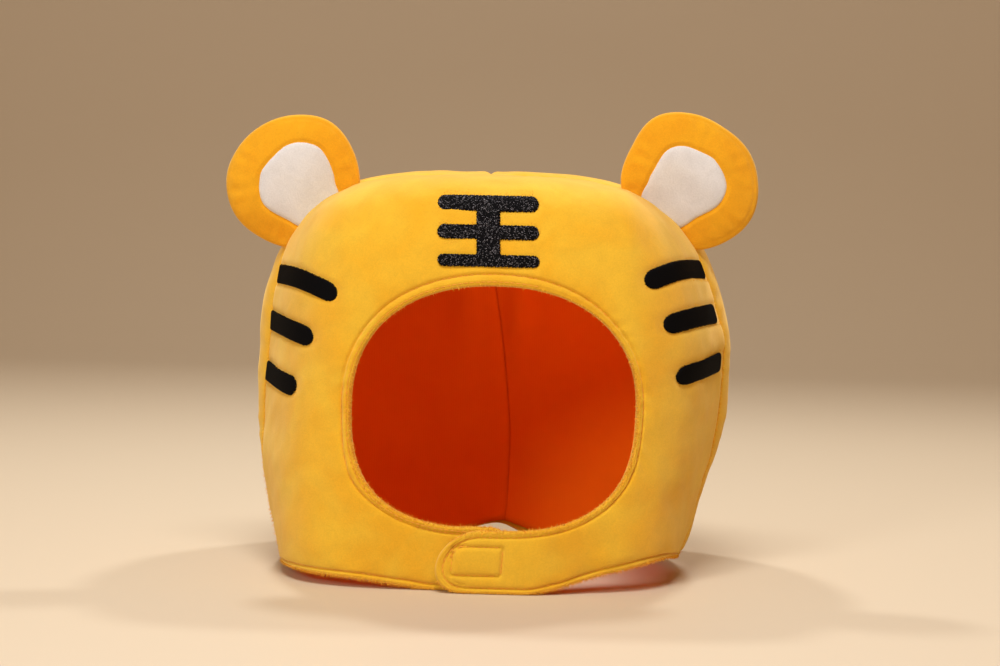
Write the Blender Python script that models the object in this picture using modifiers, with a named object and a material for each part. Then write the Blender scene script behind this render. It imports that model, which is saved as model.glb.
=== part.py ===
"""Padded plush tiger hood that rests on its hem, with its chin tab fastened.

Lengths are in millimetres and MM turns them to metres. The front faces -Y and +X is
to the right for someone who looks at the face opening.
"""

import math

import bmesh
import bpy
import numpy as np

MM = 0.001

# Outer form. One row is a level of the hood:
# height, seam half width, swell of the back past the seam, front depth, back depth,
# slope of the cheeks towards the front, sideways lean
LEVELS = (
    (0.0, 110.5, 2.0, 84.0, 119.0, 0.13, -2.8),
    (25.0, 118.2, 2.5, 85.0, 128.0, 0.20, -1.1),
    (45.0, 122.3, 3.2, 85.0, 132.5, 0.26, -0.4),
    (70.0, 127.0, 4.4, 84.5, 135.0, 0.31, 2.1),
    (98.0, 129.2, 6.0, 84.0, 136.0, 0.34, 3.7),
    (131.0, 127.7, 8.5, 83.5, 136.0, 0.35, 4.2),
    (177.0, 128.4, 5.0, 83.0, 134.0, 0.33, 1.6),
    (222.0, 128.4, 3.0, 82.0, 132.0, 0.28, -0.1),
)
# The seam plane is this far behind the middle of the whole hood
SEAM_PLACE = -22.0
CROWN_BASE = 98.0
CROWN_HEIGHT = 222.0
SQUARE_SIDE = 3.3
SQUARE_FRONT = 5.0
SQUARE_BACK = 2.6
SWELL_LENGTH = 9.0
CENTRE = np.array((0.0, 0.0, 100.0))

# Height of the hem above the table, by azimuth round the hood: -90 is the front centre,
# 0 the right side seam, 90 the back centre and 180 the left side seam
HEM_LIFT = (
    (-90.0, 0.0),
    (-72.0, 0.0),
    (-62.0, 2.8),
    (-54.0, 7.0),
    (-46.0, 11.0),
    (-28.0, 16.0),
    (-10.0, 12.5),
    (0.0, 9.5),
    (25.0, 4.0),
    (45.0, 0.0),
    (78.0, 0.0),
    (84.0, 2.4),
    (90.0, 3.8),
    (96.0, 2.4),
    (102.0, 0.0),
    (155.0, 0.0),
    (180.0, 2.5),
    (207.0, 6.6),
    (220.0, 6.0),
    (232.0, 4.8),
    (246.0, 2.0),
    (256.0, 0.0),
    (270.0, 0.0),
)

# Face opening, a rounded oval that is squarer below
OPENING_ACROSS = 6.9
OPENING_HEIGHT = 98.4
OPENING_HALF_WIDTH = 77.0
OPENING_HALF_HEIGHT = 64.6
OPENING_SQUARE_TOP = 2.2
OPENING_SQUARE_BOTTOM = 2.6

# Padding: full thickness, and the profile of the turned edge, which is a puffed roll
# held by a line of stitching. Columns: distance from the edge, outer drop, inner drop
PAD = 6.0
TURNED_EDGE = (
    (0.0, 1.9, 1.4),
    (1.5, 0.5, 0.4),
    (4.0, 0.1, 0.0),
    (6.2, 1.5, 0.0),
    (9.5, 0.0, 0.0),
)
SEAM_EDGE = (
    (0.0, 1.3, 0.0),
    (2.0, 0.7, 0.0),
    (5.0, 0.15, 0.0),
    (9.5, 0.0, 0.0),
)
SEAM_GAP = 0.2
EDGE_RINGS = (0.0, 1.5, 4.0, 6.2, 9.5)
SEAM_RINGS = (0.0, 2.0, 5.0, 7.5, 9.5)

# Front panel mesh: columns between centre and side seam, side seam and crown
HEM_COLUMNS = 10
ARCH_COLUMNS = 20
MIDDLE_RINGS = 5

# Chin tab, the end of the right arm of the front panel over the left arm
TAB_END = 21.0
TAB_RADIUS = 16.9
TAB_LIFT = 6.9
TAB_LIFT_FROM = 68.0
TAB_LIFT_TO = 28.0
UNDER_END = 22.0
UNDER_DROP = 1.5
UNDER_DROP_FROM = 55.0
UNDER_DROP_TO = 24.0
PATCH_SIZE = (26.5, 1.5, 14.5)
PATCH_PLACE = (1.1, 0.0, 17.0)

# Lining, a thin knit that follows the padding inside
LINING_CLEAR = 2.1
LINING_THICK = 1.0
LINING_INSET = 2.6

# Ears. Columns: side, centre across, centre height, lean from upright
EARS = (
    ("left", -110.8, 215.3, -37.0),
    ("right", 112.4, 220.7, 38.0),
)
# Ear outlines as radii from the centre, every 30 degrees from +X, anticlockwise seen
# from the front
EAR_RADII = {
    "left": (37.6, 38.6, 40.3, 38.0, 36.6, 36.6, 37.9, 38.2, 36.6, 36.9, 37.0, 37.2),
    "right": (37.8, 36.7, 35.6, 38.2, 41.4, 38.5, 39.1, 38.5, 37.5, 38.2, 38.3, 39.2),
}
EAR_THICK = 15.0
EAR_BASE_THIN = 0.5
EAR_INNER_WIDE = 23.5
EAR_INNER_TOP = 20.0
EAR_INNER_FOOT = 33.0
HOOD_CLEAR = 0.7

# Cheek stripes. Columns: name, inner end across, inner end height, height at the seam
STRIPES = (
    ("stripe_left_1", -80.8, 156.3, 166.5),
    ("stripe_left_2", -95.4, 132.0, 139.5),
    ("stripe_left_3", -104.2, 103.7, 110.7),
    ("stripe_right_1", 83.8, 169.1, 173.3),
    ("stripe_right_2", 93.1, 145.0, 148.3),
    ("stripe_right_3", 100.7, 116.3, 121.6),
)
STRIPE_HALF = 4.7
STRIPE_SEAM_GAP = 2.0
EMBROIDERY_CLEAR = 0.9
EMBROIDERY_THICK = 1.0

# Brow mark: three bars on one upright. Columns: lower height, upper height
BROW_BARS = (
    (172.8, 179.6),
    (187.4, 195.3),
    (202.4, 211.0),
)
BROW_HALF_LENGTH = 27.2
BROW_UPRIGHT_HALF = 6.4
BROW_CENTRE = 1.0

MATERIALS = {
    "plush_gold": ((0.90, 0.44, 0.03), 0.85),
    "plush_amber": ((0.85, 0.36, 0.02), 0.85),
    "velboa_white": ((0.80, 0.74, 0.72), 0.80),
    "knit_orange": ((0.80, 0.16, 0.005), 0.75),
    "thread_black": ((0.012, 0.012, 0.014), 0.45),
    "hook_tape": ((0.75, 0.40, 0.05), 0.70),
}


# Form functions

def hermite(x, xs, ys):
    """Smooth curve through a short table."""
    xs = np.asarray(xs, float)
    ys = np.asarray(ys, float)
    x = np.clip(x, xs[0], xs[-1])
    step = np.diff(xs)
    rise = np.diff(ys) / step
    slope = np.zeros(len(xs))
    inner = rise[:-1] * rise[1:] > 0
    slope[1:-1][inner] = 2.0 / (1.0 / rise[:-1][inner] + 1.0 / rise[1:][inner])
    slope[0] = rise[0]
    slope[-1] = rise[-1]
    i = np.clip(np.searchsorted(xs, x, side="right") - 1, 0, len(xs) - 2)
    t = (x - xs[i]) / step[i]
    a = (1 + 2 * t) * (1 - t) ** 2
    b = t * (1 - t) ** 2
    c = t * t * (3 - 2 * t)
    d = t * t * (t - 1)
    return a * ys[i] + b * step[i] * slope[i] + c * ys[i + 1] + d * step[i] * slope[i + 1]


TABLE = np.array(LEVELS)


def smooth(t):
    """Eased step from 0 to 1."""
    t = np.clip(t, 0.0, 1.0)
    return t * t * (3 - 2 * t)


def level(p):
    """How far out a point lies: 1 is on the hood's outer skin, less is inside."""
    x = np.abs(p[..., 0])
    y = p[..., 1]
    z = p[..., 2]
    half = hermite(z, TABLE[:, 0], TABLE[:, 1])
    swell = hermite(z, TABLE[:, 0], TABLE[:, 2])
    front = hermite(z, TABLE[:, 0], TABLE[:, 3])
    back = hermite(z, TABLE[:, 0], TABLE[:, 4])
    slope = hermite(z, TABLE[:, 0], TABLE[:, 5])
    fill = 1.0 - np.exp(-np.maximum(y, 0.0) / SWELL_LENGTH)
    wide = half + swell * fill - slope * np.maximum(-y, 0.0)
    depth = np.where(y < 0, front, back)
    square = np.where(y < 0, SQUARE_FRONT, SQUARE_BACK)
    rise = np.maximum(z - CROWN_BASE, 0.0) / (CROWN_HEIGHT - CROWN_BASE + 3.0 * fill)
    return (x / wide) ** SQUARE_SIDE + (np.abs(y) / depth) ** square + rise ** SQUARE_SIDE


def along(start, way):
    """The point where a ray from inside the hood meets its outer skin."""
    way = way / np.linalg.norm(way, axis=-1, keepdims=True)
    low = np.full(way.shape[:-1], 1.0)
    high = np.full(way.shape[:-1], 400.0)
    for _ in range(42):
        mid = (low + high) / 2
        out = level(start + way * mid[..., None]) > 1.0
        high = np.where(out, mid, high)
        low = np.where(out, low, mid)
    return start + way * high[..., None]


def drape(p):
    """Moves points onto the outer skin, straight from the hood's centre."""
    return along(CENTRE, p - CENTRE)


def front_point(x, z):
    """Point of the front at a place seen straight from the front."""
    start = np.stack([x, np.zeros_like(x), z], axis=-1)
    return along(start, np.zeros_like(start) + np.array((0.0, -1.0, 0.0)))


def normal(p):
    """Outward direction of the outer skin."""
    grad = np.zeros(p.shape)
    for axis in range(3):
        step = np.zeros(3)
        step[axis] = 0.25
        grad[..., axis] = level(p + step) - level(p - step)
    return grad / np.linalg.norm(grad, axis=-1, keepdims=True)


def lean(p):
    """The hood stands a little askew, so each level is moved sideways."""
    out = p.copy()
    out[..., 1] += SEAM_PLACE
    out[..., 0] += hermite(np.clip(p[..., 2], 0.0, 222.0), TABLE[:, 0], TABLE[:, 6])
    return out


def hem_height(p):
    """Height of the hem over the table at a point's azimuth."""
    turn = np.degrees(np.arctan2(p[..., 1], p[..., 0]))
    turn = np.where(turn < -90.0, turn + 360.0, turn)
    table = np.array(HEM_LIFT)
    return hermite(turn, table[:, 0], table[:, 1])


def resample(line, s):
    """Points along a polyline at the given lengths from its start."""
    run = np.concatenate([[0.0], np.cumsum(np.linalg.norm(np.diff(line, axis=0), axis=1))])
    return np.stack([np.interp(s, run, line[:, k]) for k in range(3)], axis=-1)


def length(line):
    return float(np.linalg.norm(np.diff(line, axis=0), axis=1).sum())


def hem_line(first, last, count=400):
    """The hem between two azimuths, on the outer skin at the hem's own height."""
    turn = np.radians(np.linspace(first, last, count))
    way = np.stack([np.cos(turn), np.sin(turn), np.zeros(count)], axis=-1)
    start = np.zeros((count, 3))
    start[:, 2] = hem_height(way)
    return along(start, way)


def arch_line(side, count=400):
    """The side seam, from the hem up to the crown, in the plane between front and back."""
    foot = hem_line(0.0, 0.0, 2)[0] if side > 0 else hem_line(180.0, 180.0, 2)[0]
    low = math.atan2(foot[2] - CENTRE[2], abs(foot[0]))
    turn = np.linspace(low, math.pi / 2, count)
    way = np.stack([side * np.cos(turn), np.zeros(count), np.sin(turn)], axis=-1)
    return along(CENTRE, way)


def opening_line(side, count=600):
    """Half of the face opening's edge, from the chin up to the brow."""
    turn = np.linspace(0.0, math.pi, count)
    below = turn < math.pi / 2
    power = np.where(below, 2.0 / OPENING_SQUARE_BOTTOM, 2.0 / OPENING_SQUARE_TOP)
    x = side * OPENING_HALF_WIDTH * np.abs(np.sin(turn)) ** power
    z = OPENING_HEIGHT - OPENING_HALF_HEIGHT * np.sign(np.cos(turn)) * np.abs(np.cos(turn)) ** power
    askew = hermite(z, TABLE[:, 0], TABLE[:, 6])
    return front_point(x + OPENING_ACROSS - askew, z)


# Front panel chart: u counts columns round the opening from the chin centre, to the
# left side first; w is the distance from the opening's edge

LOOP = 2 * (HEM_COLUMNS + ARCH_COLUMNS)
LINES = {}
for side in (-1, 1):
    if side < 0:
        hem = hem_line(270.0, 180.0)
    else:
        hem = hem_line(-90.0, 0.0)
    LINES[side] = (opening_line(side), hem, arch_line(side))


def edge_points(u):
    """The opening's edge point and the outer boundary's point of one column."""
    turn = u % LOOP
    side = -1 if turn <= LOOP / 2 else 1
    count = turn if side < 0 else LOOP - turn
    opening, hem, arch = LINES[side]
    reach = length(hem)
    around = length(opening)
    stride = reach / HEM_COLUMNS
    knots = (0.0, 2.0, HEM_COLUMNS, LOOP / 2)
    places = (0.0, 2.0 * stride, 0.47 * around, around)
    inner = resample(opening, hermite(np.array([count]), knots, places))[0]
    if count <= HEM_COLUMNS:
        outer = resample(hem, np.array([count * stride]))[0]
        outer[1] = min(outer[1], -SEAM_GAP)
        return inner, outer, True
    part = (count - HEM_COLUMNS) / ARCH_COLUMNS
    outer = resample(arch, np.array([part * length(arch)]))[0]
    outer[1] = -SEAM_GAP
    return inner, outer, False


def column_path(u, count=60):
    """Dense line on the skin from the opening's edge to the outer boundary."""
    inner, outer, at_hem = edge_points(u)
    t = np.linspace(0.0, 1.0, count)[:, None]
    a = inner - CENTRE
    b = outer - CENTRE
    line = drape(CENTRE + a * (1 - t) + b * t)
    line[0] = inner
    line[-1] = outer
    return line, at_hem


def edge_drop(table, distance):
    """Drop of the outer and inner faces at a distance from an edge."""
    rows = np.array(table)
    return (
        np.interp(distance, rows[:, 0], rows[:, 1]),
        np.interp(distance, rows[:, 0], rows[:, 2]),
    )


def flat_normal(n):
    """Normal without its part along the height, for a hem that ends level."""
    out = n.copy()
    out[..., 2] = 0.0
    return out / np.linalg.norm(out, axis=-1, keepdims=True)


def seam_normal(n):
    """Normal without its front to back part, shared by both sides of a seam."""
    out = n.copy()
    out[..., 1] = 0.0
    return out / np.linalg.norm(out, axis=-1, keepdims=True)


def blend_normal(n, other, distance, reach=8.0):
    t = smooth(distance / reach)[..., None]
    out = other * (1 - t) + n * t
    return out / np.linalg.norm(out, axis=-1, keepdims=True)


def ring_places(total, first, last, middle):
    """Distances of the rings: close together at both edges and even between them."""
    first = np.array(first)
    last = np.array(last)
    room = total / (first[-1] + last[-1] + 12.0)
    if room < 1.0:
        first = first * room
        last = last * room
    inner = np.linspace(first[-1], total - last[-1], middle + 2)[1:-1]
    return np.concatenate([first, inner, (total - last)[::-1]])


def tab_shift(s, over):
    """Outward shift of the right arm over the left one, or inward shift under it."""
    if over:
        return TAB_LIFT * smooth((TAB_LIFT_FROM - s) / (TAB_LIFT_FROM - TAB_LIFT_TO))
    return -UNDER_DROP * smooth((UNDER_DROP_FROM + s) / (UNDER_DROP_FROM - UNDER_DROP_TO))


def front_sheet(first_s, last_s, inset, middle, outer_depth, inner_depth):
    """Outer and inner grids of a sheet that follows the front panel.

    first_s is where the left arm ends under the tab and last_s where the right arm ends,
    both as places across from the chin centre, +X to the right.
    """
    stride = length(LINES[-1][1]) / HEM_COLUMNS
    stride_right = length(LINES[1][1]) / HEM_COLUMNS
    rounded = inset == 0.0
    start = -first_s / stride
    stop = LOOP - last_s / stride_right
    columns = []
    if rounded:
        for step in (0.0, 1.5, 4.0, 6.2):
            columns.append((start + step / stride, None, step))
        low = start + 9.5 / stride
        block = LOOP + (TAB_END - TAB_RADIUS) / stride_right
    else:
        low = start
        block = stop
    whole = [u for u in range(0, LOOP + 1) if low + 0.3 < u < block - 0.3]
    for u in [low] + whole + [block]:
        columns.append((u, None, 99.0))
    if rounded:
        for step in (13.0, 9.5, 6.2, 4.0, 1.5, 0.0):
            columns.append((block, 1.0 - step / TAB_RADIUS, 99.0))
    outer_rows = []
    inner_rows = []
    for u, xi, end_gap in columns:
        line, at_hem = column_path(u)
        total = length(line)
        last_rings = EDGE_RINGS if at_hem else SEAM_RINGS
        first_rings = np.array(EDGE_RINGS)
        last_rings = np.array(last_rings)
        if inset > 0.0:
            first_rings = np.array((inset, 9.5))
            last_rings = np.array((inset if at_hem else 0.0, 9.5))
        w = ring_places(total, first_rings, last_rings, middle)
        edge = np.minimum(w, total - w)
        if xi is not None:
            q = 2.0 * w / total - 1.0
            ahead = TAB_RADIUS * xi * np.sqrt(1 - q * q / 2)
            w = (q * math.sqrt(1 - xi * xi / 2) + 1.0) / 2.0 * total
            radius = np.sqrt(xi * xi + q * q - xi * xi * q * q)
            edge = (1.0 - radius) * TAB_RADIUS
            p = resample(line, w)
            p[:, 0] -= ahead
            p = front_point(p[:, 0], p[:, 2])
        else:
            p = resample(line, w)
        edge = np.minimum(edge, end_gap)
        n = normal(p)
        if at_hem:
            if line[-1][1] > -1.0:
                n = blend_normal(n, seam_normal(n), total - w)
            n = blend_normal(n, flat_normal(n), np.maximum(total - w, 0.0))
            out_drop, in_drop = edge_drop(TURNED_EDGE, edge)
        else:
            n = blend_normal(n, seam_normal(n), total - w)
            out_a, in_a = edge_drop(TURNED_EDGE, w)
            out_b, in_b = edge_drop(SEAM_EDGE, total - w)
            out_drop = np.maximum(out_a, out_b)
            in_drop = np.maximum(in_a, in_b)
        over = u > LOOP / 2
        s = p[:, 0]
        shift = tab_shift(s, over)
        if not at_hem:
            shift = shift * 0.0
        if outer_depth > 0.0:
            out_drop = out_drop * 0.0
            in_drop = in_drop * 0.0
        base = p + n * shift[:, None]
        outer_rows.append(base - n * (outer_depth + out_drop)[:, None])
        inner_rows.append(base - n * (inner_depth - in_drop)[:, None])
    return np.array(outer_rows), np.array(inner_rows)


def back_sheet(side, inset, columns, rows, outer_depth, inner_depth):
    """Outer and inner grids of one half of the back, from side seam to centre seam."""
    arch = arch_line(side)
    foot = hem_line(90.0, 90.0, 2)[0]
    low = math.atan2(foot[2] - CENTRE[2], foot[1])
    turn = np.linspace(low, math.pi / 2, 400)
    way = np.stack([np.zeros(400), np.cos(turn), np.sin(turn)], axis=-1)
    spine = along(CENTRE, way)
    if inset == 0.0:
        bottom = np.array(EDGE_RINGS)
    else:
        bottom = np.array((inset, 9.5))
    outer_rows = []
    inner_rows = []
    tall = length(arch)
    deep = length(spine)
    steps = np.concatenate([bottom, np.linspace(9.5, tall - 4.0, rows + 1)[1:]])
    for rise in steps:
        a = resample(arch, np.array([rise]))[0]
        b = resample(spine, np.array([rise * (deep - 4.0) / (tall - 4.0)]))[0]
        t = np.linspace(0.0, 1.0, 50)[:, None]
        line = drape(CENTRE + (a - CENTRE) * (1 - t) + (b - CENTRE) * t)
        level_line = line.copy()
        if rise < 60.0:
            pull = hem_line(180.0 if side < 0 else 0.0, 90.0, 50)
            pull = resample(pull, np.linspace(0.0, length(pull), 50))
            flat = drape(pull + np.array((0.0, 0.0, 1.0)) * (rise * 0.94))
            if rise == 0.0:
                flat = pull
            keep = smooth(np.array([(rise - 9.5) / 50.0]))[0] if rise > 9.5 else 0.0
            level_line = flat * (1 - keep) + line * keep
            level_line = level_line if rise == 0.0 else drape(level_line)
        total = length(level_line)
        first = np.array((0.0, 2.0, 5.0, 9.5))
        last = np.array((0.0, 2.0, 6.0))
        w = ring_places(total, first, last, columns)
        p = resample(level_line, w)
        p[0, 1] = SEAM_GAP
        p[:, 1] = np.maximum(p[:, 1], SEAM_GAP)
        p[-1, 0] = side * SEAM_GAP
        p[:, 0] = side * np.maximum(side * p[:, 0], SEAM_GAP)
        n = normal(p)
        scale = min(1.0, total / 30.0)
        n = blend_normal(n, seam_normal(n), w / scale)
        middle = n.copy()
        middle[:, 0] = 0.0
        middle = middle / np.linalg.norm(middle, axis=-1, keepdims=True)
        n = blend_normal(n, middle, (total - w) / scale)
        n = blend_normal(n, flat_normal(n), np.full(len(w), rise))
        out_a, in_a = edge_drop(SEAM_EDGE, w / scale)
        out_b, in_b = edge_drop(SEAM_EDGE, (total - w) / scale)
        out_c, in_c = edge_drop(TURNED_EDGE, np.full(len(w), rise))
        out_drop = np.maximum(np.maximum(out_a, out_b), out_c)
        in_drop = np.maximum(np.maximum(in_a, in_b), in_c)
        if outer_depth > 0.0:
            out_drop = out_drop * 0.0
            in_drop = in_drop * 0.0
        outer_rows.append(p - n * (outer_depth + out_drop)[:, None])
        inner_rows.append(p - n * (inner_depth - in_drop)[:, None])
    return np.array(outer_rows), np.array(inner_rows)


# Objects

def material(name):
    colour, rough = MATERIALS[name]
    found = bpy.data.materials.get(name)
    if found:
        return found
    made = bpy.data.materials.new(name)
    made.use_nodes = True
    shader = made.node_tree.nodes["Principled BSDF"]
    shader.inputs["Base Color"].default_value = (*colour, 1.0)
    shader.inputs["Roughness"].default_value = rough
    shader.inputs["Metallic"].default_value = 0.0
    made.diffuse_color = (*colour, 1.0)
    return made


def new_object(name, verts, faces, slot, where):
    mesh = bpy.data.meshes.new(name)
    points = lean(np.asarray(verts)) * MM
    mesh.from_pydata(points.tolist(), [], faces)
    mesh.validate()
    shell = bmesh.new()
    shell.from_mesh(mesh)
    bmesh.ops.recalc_face_normals(shell, faces=shell.faces[:])
    shell.to_mesh(mesh)
    shell.free()
    mesh.shade_smooth()
    made = bpy.data.objects.new(name, mesh)
    made.data.materials.append(material(slot))
    where.objects.link(made)
    return made


def padded_sheet(name, outer, inner, slot, where):
    """A closed padded sheet lofted between its outer and inner faces."""
    rows, cols = outer.shape[:2]
    verts = np.concatenate([outer.reshape(-1, 3), inner.reshape(-1, 3)])
    half = rows * cols
    faces = []
    for i in range(rows - 1):
        for j in range(cols - 1):
            a = i * cols + j
            quad = (a, a + 1, a + cols + 1, a + cols)
            faces.append(quad)
            faces.append(tuple(half + k for k in reversed(quad)))
    rim = [(0, j) for j in range(cols)]
    rim += [(i, cols - 1) for i in range(1, rows)]
    rim += [(rows - 1, j) for j in range(cols - 2, -1, -1)]
    rim += [(i, 0) for i in range(rows - 2, 0, -1)]
    ids = [i * cols + j for i, j in rim]
    for a, b in zip(ids, ids[1:] + ids[:1]):
        faces.append((b, a, half + a, half + b))
    return new_object(name, verts, faces, slot, where)


def thin_sheet(name, grid, thick, slot, where):
    """An open surface made solid outwards or inwards."""
    rows, cols = grid.shape[:2]
    faces = []
    for i in range(rows - 1):
        for j in range(cols - 1):
            a = i * cols + j
            faces.append((a, a + 1, a + cols + 1, a + cols))
    made = new_object(name, grid.reshape(-1, 3), faces, slot, where)
    solid = made.modifiers.new("cloth", "SOLIDIFY")
    solid.thickness = abs(thick) * MM
    solid.offset = 1.0 if thick > 0 else -1.0
    face_out(made)
    return made


def face_out(made):
    """Turns an open surface so that its normals point away from the hood's centre."""
    mesh = made.data
    centre = (CENTRE + np.array((0.0, SEAM_PLACE, 0.0))) * MM
    total = 0.0
    for face in mesh.polygons:
        away = np.array(face.center) - centre
        total += float(np.dot(np.array(face.normal), away)) * face.area
    if total < 0:
        mesh.flip_normals()


def stripe(name, end_x, end_z, seam_z, where):
    """A cheek stripe, square at the side seam and round at its inner end."""
    side = 1.0 if end_x > 0 else -1.0
    seam = along(np.array((0.0, 0.0, seam_z)), np.array((side, 0.0, 0.0)))
    end = front_point(np.array([end_x]), np.array([end_z]))[0]
    t = np.linspace(0.0, 1.0, 80)[:, None]
    line = drape(CENTRE + (seam - CENTRE) * (1 - t) + (end - CENTRE) * t)
    total = length(line)
    straight = total - STRIPE_HALF
    places = list(np.linspace(STRIPE_SEAM_GAP, straight, 7))
    rows = []
    for place in places:
        rows.append((place, None))
    for xi in (0.5, 0.8, 1.0):
        rows.append((straight, xi))
    grid = []
    for place, xi in rows:
        row = []
        for q in (-1.0, -0.4, 0.4, 1.0):
            s = place
            r = q
            if xi is not None:
                s = place + STRIPE_HALF * xi * math.sqrt(1 - q * q / 2)
                r = q * math.sqrt(1 - xi * xi / 2)
            p = resample(line, np.array([s]))[0]
            ahead = resample(line, np.array([min(s + 1.0, total)]))[0]
            behind = resample(line, np.array([max(s - 1.0, 0.0)]))[0]
            run = ahead - behind
            n = normal(p)
            across = np.cross(n, run)
            across = across / np.linalg.norm(across)
            p = drape(p + across * r * STRIPE_HALF)
            row.append(p + normal(p) * EMBROIDERY_CLEAR)
        grid.append(row)
    return thin_sheet(name, np.array(grid), EMBROIDERY_THICK, "thread_black", where)


def brow_mark(where):
    """Three rounded bars on one upright, laid on the forehead as one piece."""
    shell = bmesh.new()
    radius = 4.1
    long = BROW_HALF_LENGTH
    near = [-long, -long + 0.9, -long + radius, -17.0, -11.5]
    xs = near + [-BROW_UPRIGHT_HALF, 0.0, BROW_UPRIGHT_HALF] + [-x for x in reversed(near)]
    made = {}

    def corner(i, z):
        key = (i, round(z, 3))
        if key not in made:
            x = np.array([xs[i] + BROW_CENTRE])
            p = front_point(x, np.array([z]))[0]
            p = p + normal(p) * EMBROIDERY_CLEAR
            made[key] = shell.verts.new(lean(p) * MM)
        return made[key]

    def row_height(i, low, high, part):
        mid = (low + high) / 2
        half = (high - low) / 2
        tip = max(abs(xs[i]) - (long - radius), 0.0) / radius
        half = half * max(math.sqrt(max(1 - tip * tip, 0.0)), 0.3)
        return mid + half * part

    for low, high in BROW_BARS:
        for i in range(len(xs) - 1):
            for a, b in ((-1.0, 0.0), (0.0, 1.0)):
                quad = [
                    corner(i, row_height(i, low, high, a)),
                    corner(i + 1, row_height(i + 1, low, high, a)),
                    corner(i + 1, row_height(i + 1, low, high, b)),
                    corner(i, row_height(i, low, high, b)),
                ]
                shell.faces.new(quad)
    for lower, upper in zip(BROW_BARS, BROW_BARS[1:]):
        for i in range(len(xs) - 1):
            if abs(xs[i]) <= BROW_UPRIGHT_HALF and abs(xs[i + 1]) <= BROW_UPRIGHT_HALF:
                quad = [
                    corner(i, lower[1]),
                    corner(i + 1, lower[1]),
                    corner(i + 1, upper[0]),
                    corner(i, upper[0]),
                ]
                shell.faces.new(quad)
    bmesh.ops.recalc_face_normals(shell, faces=shell.faces[:])
    mesh = bpy.data.meshes.new("brow_mark")
    shell.to_mesh(mesh)
    shell.free()
    mesh.shade_smooth()
    mesh.materials.append(material("thread_black"))
    piece = bpy.data.objects.new("brow_mark", mesh)
    where.objects.link(piece)
    solid = piece.modifiers.new("thread", "SOLIDIFY")
    solid.thickness = EMBROIDERY_THICK * MM
    solid.offset = 1.0
    face_out(piece)
    return piece


def hood_blank(where):
    """The hood's outer form a little enlarged, which the ears' feet are cut to."""
    shell = bmesh.new()
    bmesh.ops.create_uvsphere(shell, u_segments=112, v_segments=80, radius=1.0)
    ways = np.array([v.co[:] for v in shell.verts])
    points = along(CENTRE, ways)
    points = points + normal(points) * HOOD_CLEAR
    points = lean(points) * MM
    for v, p in zip(shell.verts, points):
        v.co = p
    mesh = bpy.data.meshes.new("hood_blank")
    shell.to_mesh(mesh)
    shell.free()
    cutter = bpy.data.objects.new("hood_blank", mesh)
    where.objects.link(cutter)
    cutter.hide_render = True
    cutter.display_type = "WIRE"
    return cutter


def ear_reach(side, turn):
    """Radius of the ear's outline at an angle, smooth through its table."""
    radii = np.array(EAR_RADII[side])
    place = (turn / (math.pi / 6)) % 12.0
    i = np.floor(place).astype(int)
    t = place - i
    before, here, after, beyond = (radii[(i + k) % 12] for k in (-1, 0, 1, 2))
    rise = (after - before) / 2
    fall = (beyond - here) / 2
    a = (1 + 2 * t) * (1 - t) ** 2
    c = t * t * (3 - 2 * t)
    return a * here + t * (1 - t) ** 2 * rise + c * after + t * t * (t - 1) * fall


def ear_half(side, tilt, across, up):
    """Half thickness of the stuffed ear at a place on its face."""
    rho = np.hypot(across, up) / ear_reach(side, np.arctan2(up, across))
    rho = np.minimum(rho, 1.0)
    out = across * math.sin(math.radians(tilt)) + up * math.cos(math.radians(tilt))
    thin = EAR_BASE_THIN + (1 - EAR_BASE_THIN) * smooth((out + 28.0) / 37.0)
    return EAR_THICK / 2 * thin * np.sqrt(np.maximum(1 - rho ** 4, 0.0))


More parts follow.
